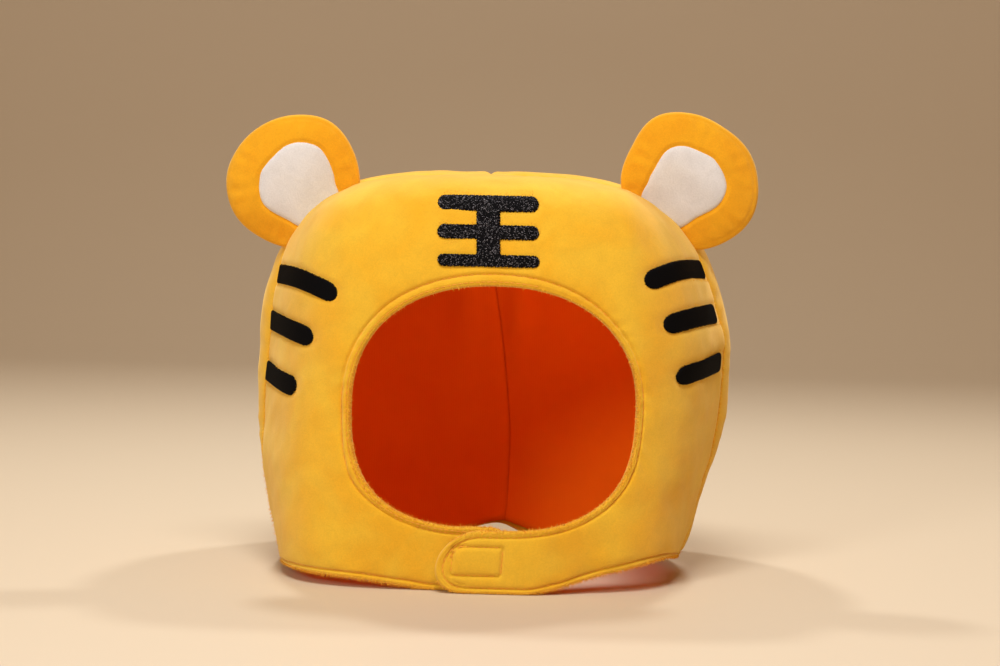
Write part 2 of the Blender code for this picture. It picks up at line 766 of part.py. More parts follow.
def ear(side, x, z, tilt, blank, where):
    """A stuffed round ear and its white inner, with their feet cut to the hood."""
    shell = bmesh.new()
    bmesh.ops.create_uvsphere(shell, u_segments=28, v_segments=10, radius=1.0)
    ball = np.array([v.co[:] for v in shell.verts])
    flat = np.maximum(np.hypot(ball[:, 0], ball[:, 1]), 1e-9)
    rho = np.minimum(flat, 1.0) ** 0.85
    turn = np.arctan2(ball[:, 1], ball[:, 0])
    across = rho * ear_reach(side, turn) * np.cos(turn)
    up = rho * ear_reach(side, turn) * np.sin(turn)
    half = ear_half(side, tilt, across, up)
    depth = np.where(ball[:, 2] > 0, -half, half)
    depth[np.abs(ball[:, 2]) < 1e-6] = 0.0
    points = lean(np.stack([across + x, depth, up + z], axis=-1)) * MM
    for v, p in zip(shell.verts, points):
        v.co = p
    bmesh.ops.recalc_face_normals(shell, faces=shell.faces[:])
    mesh = bpy.data.meshes.new("ear_" + side)
    shell.to_mesh(mesh)
    shell.free()
    mesh.shade_smooth()
    mesh.materials.append(material("plush_amber"))
    piece = bpy.data.objects.new("ear_" + side, mesh)
    where.objects.link(piece)
    cut = piece.modifiers.new("foot", "BOOLEAN")
    cut.operation = "DIFFERENCE"
    cut.solver = "EXACT"
    cut.object = blank

    turns = np.linspace(0.0, 2 * math.pi, 20, endpoint=False)
    c = np.cos(turns)
    s = np.sin(turns)
    tall = np.where(s > 0, EAR_INNER_TOP, EAR_INNER_FOOT)
    narrow = 1.0 - 0.30 * np.maximum(-s, 0.0) ** 1.5
    wide = EAR_INNER_WIDE * narrow * np.sign(c) * np.abs(c) ** 0.9
    high = tall * np.sign(s) * np.abs(s) ** 0.9
    lay = math.radians(tilt)
    verts = [(0.0, 0.0)]
    for part in (0.55, 1.0):
        verts += [(part * p, part * q) for p, q in zip(wide, high)]
    flat = np.array(verts)
    across = flat[:, 0] * math.cos(lay) + flat[:, 1] * math.sin(lay)
    up = flat[:, 1] * math.cos(lay) - flat[:, 0] * math.sin(lay)
    half = ear_half(side, tilt, across, up)
    points = np.stack([across + x, -half - 0.55, up + z], axis=-1)
    faces = []
    for k in range(20):
        n = (k + 1) % 20
        faces.append((0, 1 + k, 1 + n))
        faces.append((1 + k, 21 + k, 21 + n, 1 + n))
    inner = new_object("ear_inner_" + side, points, faces, "velboa_white", where)
    if inner.data.polygons[0].normal.y > 0:
        inner.data.flip_normals()
    solid = inner.modifiers.new("cloth", "SOLIDIFY")
    solid.thickness = 1.0 * MM
    solid.offset = 1.0
    cut = inner.modifiers.new("foot", "BOOLEAN")
    cut.operation = "DIFFERENCE"
    cut.solver = "EXACT"
    cut.object = blank
    return piece, inner


def hook_patch(where):
    """The hidden hook and loop fastening, one plain pad between the two arms."""
    x, _, z = PATCH_PLACE
    skin = front_point(np.array([x]), np.array([z]))[0]
    middle = (TAB_LIFT - PAD - UNDER_DROP) / 2
    bpy.ops.mesh.primitive_cube_add(size=1.0)
    made = bpy.context.active_object
    made.name = "hook_loop_patch"
    made.data.name = "hook_loop_patch"
    made.scale = [v * MM for v in PATCH_SIZE]
    bpy.ops.object.transform_apply(location=False, rotation=False, scale=True)
    spot = lean(np.array([x, skin[1] - middle, z]))
    made.location = [v * MM for v in spot]
    made.data.materials.append(material("hook_tape"))
    edge = made.modifiers.new("edge", "BEVEL")
    edge.width = 0.4 * MM
    edge.segments = 1
    for group in list(made.users_collection):
        group.objects.unlink(made)
    where.objects.link(made)
    return made


def main():
    for old in list(bpy.data.objects):
        bpy.data.objects.remove(old, do_unlink=True)
    scene = bpy.context.scene
    parts = bpy.data.collections.new("tiger_hood")
    cutters = bpy.data.collections.new("cutters")
    scene.collection.children.link(parts)
    scene.collection.children.link(cutters)

    outer, inner = front_sheet(UNDER_END, -TAB_END, 0.0, MIDDLE_RINGS, 0.0, PAD)
    padded_sheet("front_panel", outer, inner, "plush_gold", parts)
    for side, word in ((-1, "left"), (1, "right")):
        outer, inner = back_sheet(side, 0.0, 7, 14, 0.0, PAD)
        padded_sheet("back_panel_" + word, outer, inner, "plush_gold", parts)

    skin = PAD + LINING_CLEAR
    face, _ = front_sheet(UNDER_END - 3.0, 30.0, LINING_INSET, 2, skin, skin)
    thin_sheet("lining_front", face, -LINING_THICK, "knit_orange", parts)
    for side, word in ((-1, "left"), (1, "right")):
        face, _ = back_sheet(side, LINING_INSET, 4, 10, skin, skin)
        thin_sheet("lining_back_" + word, face, -LINING_THICK, "knit_orange", parts)

    blank = hood_blank(cutters)
    for side, x, z, tilt in EARS:
        ear(side, x, z, tilt, blank, parts)

    for name, end_x, end_z, seam_z in STRIPES:
        stripe(name, end_x, end_z, seam_z, parts)
    brow_mark(parts)
    hook_patch(parts)


main()
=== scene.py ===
import math

import bmesh
import bpy
import numpy as np
from mathutils import Matrix, Vector


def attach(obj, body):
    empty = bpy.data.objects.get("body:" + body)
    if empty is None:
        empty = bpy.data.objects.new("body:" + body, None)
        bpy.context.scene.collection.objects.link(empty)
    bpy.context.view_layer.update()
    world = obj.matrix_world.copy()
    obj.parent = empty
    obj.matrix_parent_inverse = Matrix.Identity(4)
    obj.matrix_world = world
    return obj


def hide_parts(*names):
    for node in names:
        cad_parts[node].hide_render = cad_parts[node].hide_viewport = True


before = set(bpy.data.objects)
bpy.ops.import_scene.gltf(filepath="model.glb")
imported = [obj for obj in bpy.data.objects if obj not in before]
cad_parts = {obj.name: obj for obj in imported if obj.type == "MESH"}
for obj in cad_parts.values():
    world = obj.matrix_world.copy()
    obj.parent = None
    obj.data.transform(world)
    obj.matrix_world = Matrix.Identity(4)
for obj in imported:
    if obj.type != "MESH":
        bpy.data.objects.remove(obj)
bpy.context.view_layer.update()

# Studio: a pale painted sweep that is floor and backdrop in one, a large soft lamp high in
# front with two smaller ones beside it, two lamps high behind, and a small warm one under
# the crown for the light that comes through the cloth. The camera is as high as the crown.
CAMERA_PLACE = (0.0423, -1.3494, 0.210)
CAMERA_YAW = 1.5
CAMERA_PITCH = 3.3
CAMERA_ROLL = 1.3
CAMERA_LENS = 85.0
FLOOR_PALE = "#D4C4AA"
LIGHT_WHITE = "#FFFFFF"
LIGHT_AMBER = "#FFB060"
AIR_WARM = "#FFC88C"
AIR_STRENGTH = 0.25
# The sweep in metres: half width, front end, start and radius of its curve, top
SWEEP = {"half": 14.0, "front": -14.0, "back": 1.5, "curve": 0.8, "top": 3.0}
# name, place, aim, size in metres, watts, colour
LAMPS = (
    ("high_softbox", (-0.05, -0.95, 1.90), (0.0, -0.05, 0.14), 0.8, 29.5, LIGHT_WHITE),
    ("left_softbox", (-0.78, -1.55, 0.76), (0.0, -0.05, 0.12), 0.4, 8.5, LIGHT_WHITE),
    ("right_softbox", (0.60, -1.60, 0.60), (0.0, -0.05, 0.10), 0.6, 1.8, LIGHT_AMBER),
    ("back_lamp_left", (-0.32, 0.62, 1.22), (0.02, 0.0, 0.12), 0.12, 5.5, LIGHT_WHITE),
    ("back_lamp_right", (0.40, 0.60, 1.20), (0.0, 0.0, 0.12), 0.12, 5.5, LIGHT_WHITE),
    ("crown_glow", (0.07, 0.0, 0.18), (-0.04, 0.09, 0.11), 0.05, 0.03, LIGHT_AMBER),
)
scene = bpy.context.scene
scene.view_settings.view_transform = "Standard"


def linear(hex_colour):
    """An sRGB hex colour as the linear colour that a shader takes."""
    parts = [int(hex_colour[k:k + 2], 16) / 255 for k in (1, 3, 5)]
    rgb = [v / 12.92 if v <= 0.04045 else ((v + 0.055) / 1.055) ** 2.4 for v in parts]
    return (*rgb, 1.0)


def plug(tree, node, values=None, links=None):
    """Sets a node's sockets and links other nodes into it."""
    for key, value in (values or {}).items():
        node.inputs[key].default_value = value
    for key, source in (links or {}).items():
        tree.links.new(source, node.inputs[key])
    return node


def add(tree, kind, values=None, links=None, **settings):
    """Adds a node with its settings, its socket values and the links into it."""
    made = tree.nodes.new(kind)
    for key, value in settings.items():
        setattr(made, key, value)
    return plug(tree, made, values, links)


def finish_named(name):
    """A new material with its node tree and its shader."""
    made = bpy.data.materials.new(name)
    made.use_nodes = True
    return made, made.node_tree, made.node_tree.nodes["Principled BSDF"]


camera = bpy.data.objects.new("studio_camera", bpy.data.cameras.new("studio_camera"))
camera.data.lens = CAMERA_LENS
camera.data.sensor_width = 36.0
camera.data.clip_start = 0.05
camera.matrix_world = (
    Matrix.Translation(CAMERA_PLACE)
    @ Matrix.Rotation(math.radians(CAMERA_YAW), 4, "Z")
    @ Matrix.Rotation(math.radians(90.0 - CAMERA_PITCH), 4, "X")
    @ Matrix.Rotation(math.radians(CAMERA_ROLL), 4, "Z")
)
scene.collection.objects.link(camera)
scene.camera = camera

for name, place, aim, size, watts, colour in LAMPS:
    lamp = bpy.data.lights.new(name, "AREA")
    lamp.shape = "DISK"
    lamp.size = size
    lamp.energy = watts
    lamp.color = linear(colour)[:3]
    holder = bpy.data.objects.new(name, lamp)
    holder.location = place
    holder.rotation_euler = (Vector(place) - Vector(aim)).to_track_quat("Z", "Y").to_euler()
    holder.visible_camera = False
    scene.collection.objects.link(holder)

air = bpy.data.worlds.new("studio_air")
scene.world = air
air.use_nodes = True
glow = air.node_tree.nodes["Background"]
plug(air.node_tree, glow, {"Color": linear(AIR_WARM), "Strength": AIR_STRENGTH})

# Painted sweep: satin paint hides its texture, so the eye sees one even pale tone
sweep_paint, tree, shader = finish_named("painted_sweep")
plug(tree, shader, {"Base Color": linear(FLOOR_PALE), "Roughness": 0.55})
profile = [(SWEEP["front"], 0.0), (SWEEP["back"], 0.0)]
for step in range(1, 13):
    turn = math.radians(90.0 * step / 12)
    behind = SWEEP["back"] + SWEEP["curve"] * math.sin(turn)
    profile.append((behind, SWEEP["curve"] * (1.0 - math.cos(turn))))
profile.append((SWEEP["back"] + SWEEP["curve"], SWEEP["top"]))
verts = [(x, y, z) for y, z in profile for x in (-SWEEP["half"], SWEEP["half"])]
faces = [(2 * k, 2 * k + 1, 2 * k + 3, 2 * k + 2) for k in range(len(profile) - 1)]
sweep_mesh = bpy.data.meshes.new("studio_sweep")
sweep_mesh.from_pydata(verts, [], faces)
sweep_mesh.shade_smooth()
sweep_mesh.materials.append(sweep_paint)
sweep = bpy.data.objects.new("studio_sweep", sweep_mesh)
scene.collection.objects.link(sweep)

# Front panel: one C-shaped piece of gold velboa plush over thin wadding, cut round the
# face. Its left arm ends under the chin tab and its right arm is the tab. The edges are
# turned in and topstitched, so they stand up as a soft roll with a furrow beside it.
MM = 0.001
# height, seam half width, swell of the back, front depth, back depth, cheek slope, lean
LEVELS = np.array((
    (0.0, 110.5, 2.0, 84.0, 119.0, 0.13, -2.8),
    (25.0, 118.2, 2.5, 85.0, 128.0, 0.20, -1.1),
    (45.0, 122.3, 3.2, 85.0, 132.5, 0.26, -0.4),
    (70.0, 127.0, 4.4, 84.5, 135.0, 0.31, 2.1),
    (98.0, 129.2, 6.0, 84.0, 136.0, 0.34, 3.7),
    (131.0, 127.7, 8.5, 83.5, 136.0, 0.35, 4.2),
    (177.0, 128.4, 5.0, 83.0, 134.0, 0.33, 1.6),
    (222.0, 128.4, 3.0, 82.0, 132.0, 0.28, -0.1),
))
SEAM_PLACE = -22.0
CROWN_BASE = 98.0
CROWN_RISE = 124.0
# How square the hood is: at its sides and crown, in front, behind
SQUARE_SIDE = 3.3
SQUARE_FRONT = 5.0
SQUARE_BACK = 2.6
SWELL_LENGTH = 9.0
CENTRE = np.array((0.0, 0.0, 100.0))
# azimuth round the hood, height of the hem over the floor
HEM_LIFT = np.array((
    (-90.0, 0.0), (-72.0, 0.0), (-62.0, 2.8), (-54.0, 7.0), (-46.0, 11.0),
    (-28.0, 16.0), (-10.0, 12.5), (0.0, 9.5), (25.0, 4.0), (45.0, 0.0),
    (72.0, 0.0), (80.0, 5.0), (86.0, 9.6), (91.0, 7.8), (96.0, 3.0), (101.0, 0.0),
    (155.0, 0.0), (180.0, 2.5), (207.0, 6.6), (220.0, 6.0), (232.0, 4.8),
    (246.0, 2.0), (256.0, 0.0), (270.0, 0.0),
))
OPENING = {"across": 7.1, "height": 98.4, "wide": 77.3, "tall": 64.6}
# How square the opening is in its lower and its upper half
OPENING_SQUARE = (2.72, 2.2)
PAD = 6.0
SEAM_GAP = 0.06
OUTER_ROUND = 2.7
INNER_ROUND = 2.2
HEM_COLUMNS = 10
ARCH_COLUMNS = 20
LOOP = 2 * (HEM_COLUMNS + ARCH_COLUMNS)
TAB = {"straight": 4.1, "reach": 19.4, "radius": 16.9, "root": 34.0}
TAB_RISE = {"lift": 6.9, "from": 68.0, "to": 28.0}
UNDER = {"end": 22.0, "drop": 1.5, "from": 55.0, "to": 24.0}
HEM_FURROW = 3.5
SECOND_FURROW = HEM_FURROW + 1.9
# Middle and half sizes of the stitched rectangle on the tab
BOX_STITCH = {"across": 1.9, "height": 17.7, "wide": 13.2, "tall": 7.5}
# Soft ridges that run down from the ears' inner feet: place across, strength
RIDGES = ((76.8, 1.7), (-77.0, 0.8))


def hermite(x, xs, ys):
    """Smooth curve through a short table."""
    xs = np.asarray(xs, float)
    ys = np.asarray(ys, float)
    x = np.clip(x, xs[0], xs[-1])
    step = np.diff(xs)
    rise = np.diff(ys) / step
    slope = np.zeros(len(xs))
    inner = rise[:-1] * rise[1:] > 0
    slope[1:-1][inner] = 2.0 / (1.0 / rise[:-1][inner] + 1.0 / rise[1:][inner])
    slope[0] = rise[0]
    slope[-1] = rise[-1]
    i = np.clip(np.searchsorted(xs, x, side="right") - 1, 0, len(xs) - 2)
    t = (x - xs[i]) / step[i]
    a = (1 + 2 * t) * (1 - t) ** 2
    b = t * (1 - t) ** 2
    c = t * t * (3 - 2 * t)
    d = t * t * (t - 1)
    return a * ys[i] + b * step[i] * slope[i] + c * ys[i + 1] + d * step[i] * slope[i + 1]


def smooth(t):
    """Eased step from 0 to 1."""
    t = np.clip(t, 0.0, 1.0)
    return t * t * (3 - 2 * t)


def hump(d, width):
    """A soft bump of height 1 at 0."""
    return np.exp(-(d / width) ** 2)


def level(p):
    """How far out a point lies: 1 is on the hood's outer skin."""
    x = np.abs(p[..., 0])
    y = p[..., 1]
    z = p[..., 2]
    half, swell, front, back, slope = (
        hermite(z, LEVELS[:, 0], LEVELS[:, k]) for k in range(1, 6)
    )
    right = p[..., 0] > 0.0
    low = smooth((85.0 - z) / 25.0)
    bulge = np.where(right, 3.8 * hump(z - 129.0, 19.0), 0.8 * swell * low)
    trim = np.where(right, 0.0, 1.5 * low + 1.3 * smooth((z - 140.0) / 25.0))
    half = half + bulge - trim
    drawn_in = np.where(right, 1.4 * hump(z - 140.0, 32.0), 2.2 * hump(z - 180.0, 16.0))
    swell = swell - bulge - drawn_in
    fill = 1.0 - np.exp(-np.maximum(y, 0.0) / SWELL_LENGTH)
    wide = half + swell * fill - slope * np.maximum(-y, 0.0)
    depth = np.where(y < 0, front, back)
    square = np.where(y < 0, SQUARE_FRONT, SQUARE_BACK)
    rise = np.maximum(z - CROWN_BASE, 0.0) / (CROWN_RISE + 3.0 * fill)
    return (x / wide) ** SQUARE_SIDE + (np.abs(y) / depth) ** square + rise ** SQUARE_SIDE


def along(start, way, steps=30):
    """The point where a ray from inside the hood meets its outer skin."""
    way = way / np.linalg.norm(way, axis=-1, keepdims=True)
    low = np.full(way.shape[:-1], 1.0)
    high = np.full(way.shape[:-1], 400.0)
    for _ in range(steps):
        mid = (low + high) / 2
        out = level(start + way * mid[..., None]) > 1.0
        high = np.where(out, mid, high)
        low = np.where(out, low, mid)
    return start + way * high[..., None]


def drape(p):
    """Moves points onto the outer skin, straight from the hood's centre."""
    return along(CENTRE, p - CENTRE)


def front_point(x, z):
    """Point of the front skin at a place seen straight from the front."""
    start = np.stack([x, np.zeros_like(x), z], axis=-1)
    return along(start, np.zeros_like(start) + np.array((0.0, -1.0, 0.0)))


def normal(p):
    """Outward direction of the outer skin."""
    grad = np.zeros(p.shape)
    for axis in range(3):
        step = np.zeros(3)
        step[axis] = 0.25
        grad[..., axis] = level(p + step) - level(p - step)
    return unit(grad)


def unit(v):
    return v / np.maximum(np.linalg.norm(v, axis=-1, keepdims=True), 1e-12)


def in_frame(p):
    """From the seam plane's measures to the frame: the hood stands a little askew."""
    out = np.array(p, float)
    out[..., 1] += SEAM_PLACE
    out[..., 0] += hermite(np.clip(p[..., 2], 0.0, 222.0), LEVELS[:, 0], LEVELS[:, 6])
    return out * MM



def run_of(line):
    """Lengths along a polyline at each of its points."""
    steps = np.linalg.norm(np.diff(line, axis=-2), axis=-1)
    return np.insert(np.cumsum(steps, axis=-1), 0, 0.0, axis=-1)


def resample(line, s):
    """Points along a polyline at the given lengths from its start."""
    run = run_of(line)
    return np.stack([np.interp(s, run, line[:, k]) for k in range(3)], axis=-1)


def hem_height(way):
    """Height of the hem over the floor, in directions from the hood's middle."""
    azimuth = np.degrees(np.arctan2(way[..., 1], way[..., 0]))
    azimuth = np.where(azimuth < -90.0, azimuth + 360.0, azimuth)
    return hermite(azimuth, HEM_LIFT[:, 0], HEM_LIFT[:, 1])


def hem_line(first, last, count=400):
    """The hem between two azimuths, on the outer skin."""
    turn = np.radians(np.linspace(first, last, count))
    way = np.stack([np.cos(turn), np.sin(turn), np.zeros(count)], axis=-1)
    start = np.zeros((count, 3))
    start[:, 2] = hem_height(way)
    return along(start, way, 42)


def seam_line(ahead, foot, count=400):
    """A seam in an upright plane, from its foot on the hem up to the crown."""
    low = math.atan2(foot[2] - CENTRE[2], float(np.hypot(foot[0], foot[1])))
    turn = np.linspace(low, math.pi / 2, count)
    way = np.outer(np.cos(turn), ahead) + np.outer(np.sin(turn), (0.0, 0.0, 1.0))
    return along(CENTRE, way, 42)


def opening_line(side, count=600):
    """Half of the face opening's edge, from the chin up to the brow."""
    turn = np.linspace(0.0, math.pi, count)
    low, high = OPENING_SQUARE
    power = 2.0 / np.where(turn < math.pi / 2, low, high)
    x = side * OPENING["wide"] * np.abs(np.sin(turn)) ** power
    fall = np.sign(np.cos(turn)) * np.abs(np.cos(turn)) ** power
    z = OPENING["height"] - OPENING["tall"] * fall
    askew = hermite(z, LEVELS[:, 0], LEVELS[:, 6])
    return front_point(x + OPENING["across"] - askew, z)


LINES = {}
for side in (-1, 1):
    hem = hem_line(270.0, 180.0) if side < 0 else hem_line(-90.0, 0.0)
    arch = seam_line((side, 0.0, 0.0), hem[-1])
    LINES[side] = (opening_line(side), hem, arch)
STRIDE = {side: run_of(LINES[side][1])[-1] / HEM_COLUMNS for side in LINES}


def columns_of(u, count=60):
    """Dense lines on the skin, one for each column, from the opening to hem or seam."""
    turn = np.mod(u, LOOP)
    on_left = turn <= LOOP / 2
    place = np.where(on_left, turn, LOOP - turn)
    inner = np.zeros((len(u), 3))
    outer = np.zeros((len(u), 3))
    at_hem = place <= HEM_COLUMNS
    for side, mask in ((-1, on_left), (1, ~on_left)):
        opening, hem, arch = LINES[side]
        around = run_of(opening)[-1]
        knots = (0.0, 2.0, HEM_COLUMNS, LOOP / 2)
        spots = (0.0, 2.0 * STRIDE[side], 0.47 * around, around)
        inner[mask] = resample(opening, hermite(place[mask], knots, spots))
        low = resample(hem, np.minimum(place[mask], HEM_COLUMNS) * STRIDE[side])
        low[:, 1] = np.minimum(low[:, 1], -SEAM_GAP)
        part = np.maximum(place[mask] - HEM_COLUMNS, 0.0) / ARCH_COLUMNS
        high = resample(arch, part * run_of(arch)[-1])
        high[:, 1] = -SEAM_GAP
        outer[mask] = np.where(at_hem[mask][:, None], low, high)
    t = np.linspace(0.0, 1.0, count)[:, None]
    lines = drape(CENTRE + (inner - CENTRE)[:, None] * (1 - t) + (outer - CENTRE)[:, None] * t)
    lines[:, 0] = inner
    lines[:, -1] = outer
    return lines, at_hem


def on_lines(lines, w):
    """Points at lengths w, one row of lengths for each line."""
    runs = run_of(lines)
    return np.stack([
        np.stack([np.interp(w[i], runs[i], lines[i, :, k]) for k in range(3)], axis=-1)
        for i in range(len(lines))
    ])


def rings_of(total, first, last, middle):
    """Distances across a panel: close together at both edges and even between them."""
    room = np.minimum(total / (first[-1] + last[-1] + 12.0), 1.0)[:, None]
    near = np.array(first) * room
    far = total[:, None] - np.array(last)[::-1] * room
    t = np.linspace(0.0, 1.0, middle + 2)[1:-1]
    between = near[:, -1:] + (far[:, :1] - near[:, -1:]) * t
    return np.concatenate([near, between, far], axis=1)


def turned(n, other, distance, reach=8.0):
    """Turns normals towards an edge's own direction over the last few millimetres."""
    t = smooth(distance / reach)[..., None]
    return unit(other * (1 - t) + n * t)


def without(n, axis):
    out = n.copy()
    out[..., axis] = 0.0
    return unit(out)


def field(p, size, seed, count=16):
    """Smooth random relief over points, with swells of the given size in millimetres."""
    rng = np.random.default_rng(seed)
    way = unit(rng.normal(size=(count, 3))) * (2 * math.pi / size)
    way = way * rng.uniform(0.65, 1.35, size=(count, 1))
    phase = rng.uniform(0.0, 2 * math.pi, count)
    return np.sin(p @ way.T + phase).sum(axis=-1) / math.sqrt(2.0 * count)


def pucker(run, size, seed):
    """Uneven small gathers along a seam."""
    rng = np.random.default_rng(seed)
    total = np.zeros_like(run)
    for k in range(6):
        pace = 2 * math.pi / (size * rng.uniform(0.7, 1.5))
        total += rng.uniform(0.4, 1.0) * np.sin(run * pace + rng.uniform(0.0, 6.28))
    return total / 2.4


def gathered(run, d, size, seed, middle=5.0, fall=5.0):
    """Gathers along a seam that are strongest a few millimetres beside it."""
    return pucker(run, size, seed) * np.exp(-np.abs(d - middle) / fall)


def rounding(d, radius):
    """Drop of a face at distance d from an edge that is rounded off."""
    inside = radius - np.minimum(d, radius)
    return radius - np.sqrt(np.maximum(radius ** 2 - inside ** 2, 0.0))


def turned_drop(d, furrow, depth=1.2):
    """Drop of the outer face by a turned, topstitched edge at distance d from it."""
    stitched = depth * hump(d - furrow, 0.7) + 0.4 * hump(d - furrow, 2.4)
    return rounding(d, OUTER_ROUND) + stitched * smooth(d / (0.5 * furrow))


def seam_drop(d):
    """Drop of the face beside a plain seam."""
    return 1.5 * np.exp(-d / 1.3) + 0.55 * hump(d, 4.5)


def opening_furrow(p):
    """The topstitch stands 6 mm from the rim at the left and top, 4 at the right."""
    right = smooth((p[..., 0] - 10.0) / 60.0) * smooth((175.0 - p[..., 2]) / 40.0)
    low = smooth((62.0 - p[..., 2]) / 24.0)
    return (6.2 - 2.0 * right) * (1 - low) + 3.6 * low


def past_corner(dx, dz):
    """Distance to a rectangle, from how far a place lies past its sides and its ends."""
    outside = np.hypot(np.maximum(dx, 0.0), np.maximum(dz, 0.0))
    return outside + np.minimum(np.maximum(dx, dz), 0.0)


def box_distance(x, z, spot):
    """Distance to the outline of a rectangle with rounded corners, below 0 inside."""
    round_off = 1.2
    dx = np.abs(x - spot["across"]) - spot["wide"] + round_off
    dz = np.abs(z - spot["height"]) - spot["tall"] + round_off
    return past_corner(dx, dz) - round_off


# Cheek stripes: name, inner end across, inner end height, height at the seam, gap to it
STRIPES = (
    ("stripe_left_1", -80.8, 155.2, 164.3, 6.4),
    ("stripe_left_2", -95.6, 131.5, 138.1, 2.9),
    ("stripe_left_3", -105.0, 104.4, 109.7, 2.8),
    ("stripe_right_1", 83.6, 165.7, 172.0, 7.0),
    ("stripe_right_2", 93.1, 142.9, 148.0, 9.4),
    ("stripe_right_3", 100.7, 115.4, 121.8, 11.0),
)
STRIPE_HALF = 5.5
# The corners at the seam are sharp on the left and rounded on the right
STRIPE_CORNERS = {-1: 1.0, 1: 3.0}
STRIPE_CAP = 8.5
# Brow mark: lower and upper height of each bar
BROW_BARS = ((172.8, 179.6), (187.4, 195.3), (202.4, 211.0))
BROW_HALF_LENGTH = 27.2
BROW_UPRIGHT = {"wide": 6.4, "height": 192.0, "tall": 17.0}
BROW_CENTRE = 1.0


def stripe_line(end_x, end_z, seam_z):
    """The middle line of a cheek stripe, from the side seam to its round end."""
    side = 1.0 if end_x > 0 else -1.0
    seam = along(np.array((0.0, 0.0, seam_z)), np.array((side, 0.0, 0.0)), 42)
    end = front_point(np.array([end_x]), np.array([end_z]))[0]
    t = np.linspace(0.0, 1.0, 80)[:, None]
    return drape(CENTRE + (seam - CENTRE) * (1 - t) + (end - CENTRE) * t)


def brow_distance(x, z):
    """Distance to the outline of the brow mark seen from the front, below 0 inside."""
    x = x - BROW_CENTRE
    best = np.full(np.shape(x), 99.0)
    for low, high in BROW_BARS:
        radius = (high - low) / 2
        dx = np.maximum(np.abs(x) - BROW_HALF_LENGTH + radius, 0.0)
        best = np.minimum(best, np.hypot(dx, z - (low + high) / 2) - radius)
    dx = np.abs(x) - BROW_UPRIGHT["wide"]
    dz = np.abs(z - BROW_UPRIGHT["height"]) - BROW_UPRIGHT["tall"]
    upright = past_corner(dx, dz)
    blend = np.clip(0.5 + (best - upright) / 3.0, 0.0, 1.0)
    return best * (1 - blend) + upright * blend - 0.75 * blend * (1 - blend)


def stripe_width(s, total):
    """Half width of a cheek stripe at s along its middle line: its end is round."""
    past = np.clip((s - total + STRIPE_CAP) / STRIPE_CAP, 0.0, 1.0)
    return STRIPE_HALF * np.sqrt(1.0 - past ** 2)


def embroidery_distance(p):
    """How far points of the plush lie from the nearest embroidery."""
    best = np.full(p.shape[:-1], 99.0)
    for _, end_x, end_z, seam_z, _ in STRIPES:
        line = stripe_line(end_x, end_z, seam_z)
        wide = stripe_width(run_of(line), run_of(line)[-1])
        near = np.abs(p[..., 0] - end_x) < 60.0
        spots = p[near]
        away = np.full(len(spots), 99.0)
        for point, half in zip(line[4::2], wide[4::2]):
            away = np.minimum(away, np.linalg.norm(spots - point, axis=-1) - half)
        best[near] = np.minimum(best[near], away)
    forehead = (p[..., 1] < -30.0) & (p[..., 2] > 150.0)
    return np.where(forehead, np.minimum(best, brow_distance(p[..., 0], p[..., 2])), best)


def front_relief(p, edge, run):
    """Soft relief of the padded front: swells, ridges and small gathers."""
    inside = smooth(edge / 9.0)
    out = (0.55 * field(p, 46.0, 11) + 0.28 * field(p, 19.0, 12)) * inside
    for across, strength in RIDGES:
        tent = np.exp(-np.hypot(p[..., 0] - across, 1.6) / 11.0)
        out += strength * tent * smooth((p[..., 2] - 116.0) / 70.0) * inside
    return out + 0.30 * gathered(run, edge, 9.0, 5, fall=4.0) * smooth(edge / 3.0)


FINE_EDGE = (
    0.0, 0.12, 0.4, 0.8, 1.3, 1.9, 2.6, 3.3, 3.9, 4.5, 5.1, 5.7, 6.3, 6.9, 7.6, 8.5, 9.5,
)


def tab_end(lines, w, ahead):
    """Places on the tab's round end, ahead of the straight part by up to 1."""
    p = on_lines(lines, w)
    return front_point(p[..., 0] - TAB["reach"] * ahead, p[..., 2])


def tab_shift(u, x, at_hem):
    """How far the tab stands off the skin, and the arm under it sinks, at places across."""
    rise, under = (
        smooth((place["from"] + way * x) / (place["from"] - place["to"]))
        for place, way in ((TAB_RISE, -1.0), (UNDER, 1.0))
    )
    shift = np.where(u > LOOP / 2, TAB_RISE["lift"] * rise, -UNDER["drop"] * under)
    return np.where(at_hem, shift, 0.0)


def panel_normals(p, lines, at_hem, to_end):
    """Outward directions of the front panel, turned in with its seam and its hem."""
    hem = at_hem[:, None, None]
    corner = hem & (np.abs(lines[:, -1, 1]) < 1.0)[:, None, None]
    n = normal(p)
    n_seam = turned(n, without(n, 1), to_end)
    n = np.where(corner, n_seam, n)
    return np.where(hem, turned(n, without(n, 2), to_end), n_seam)


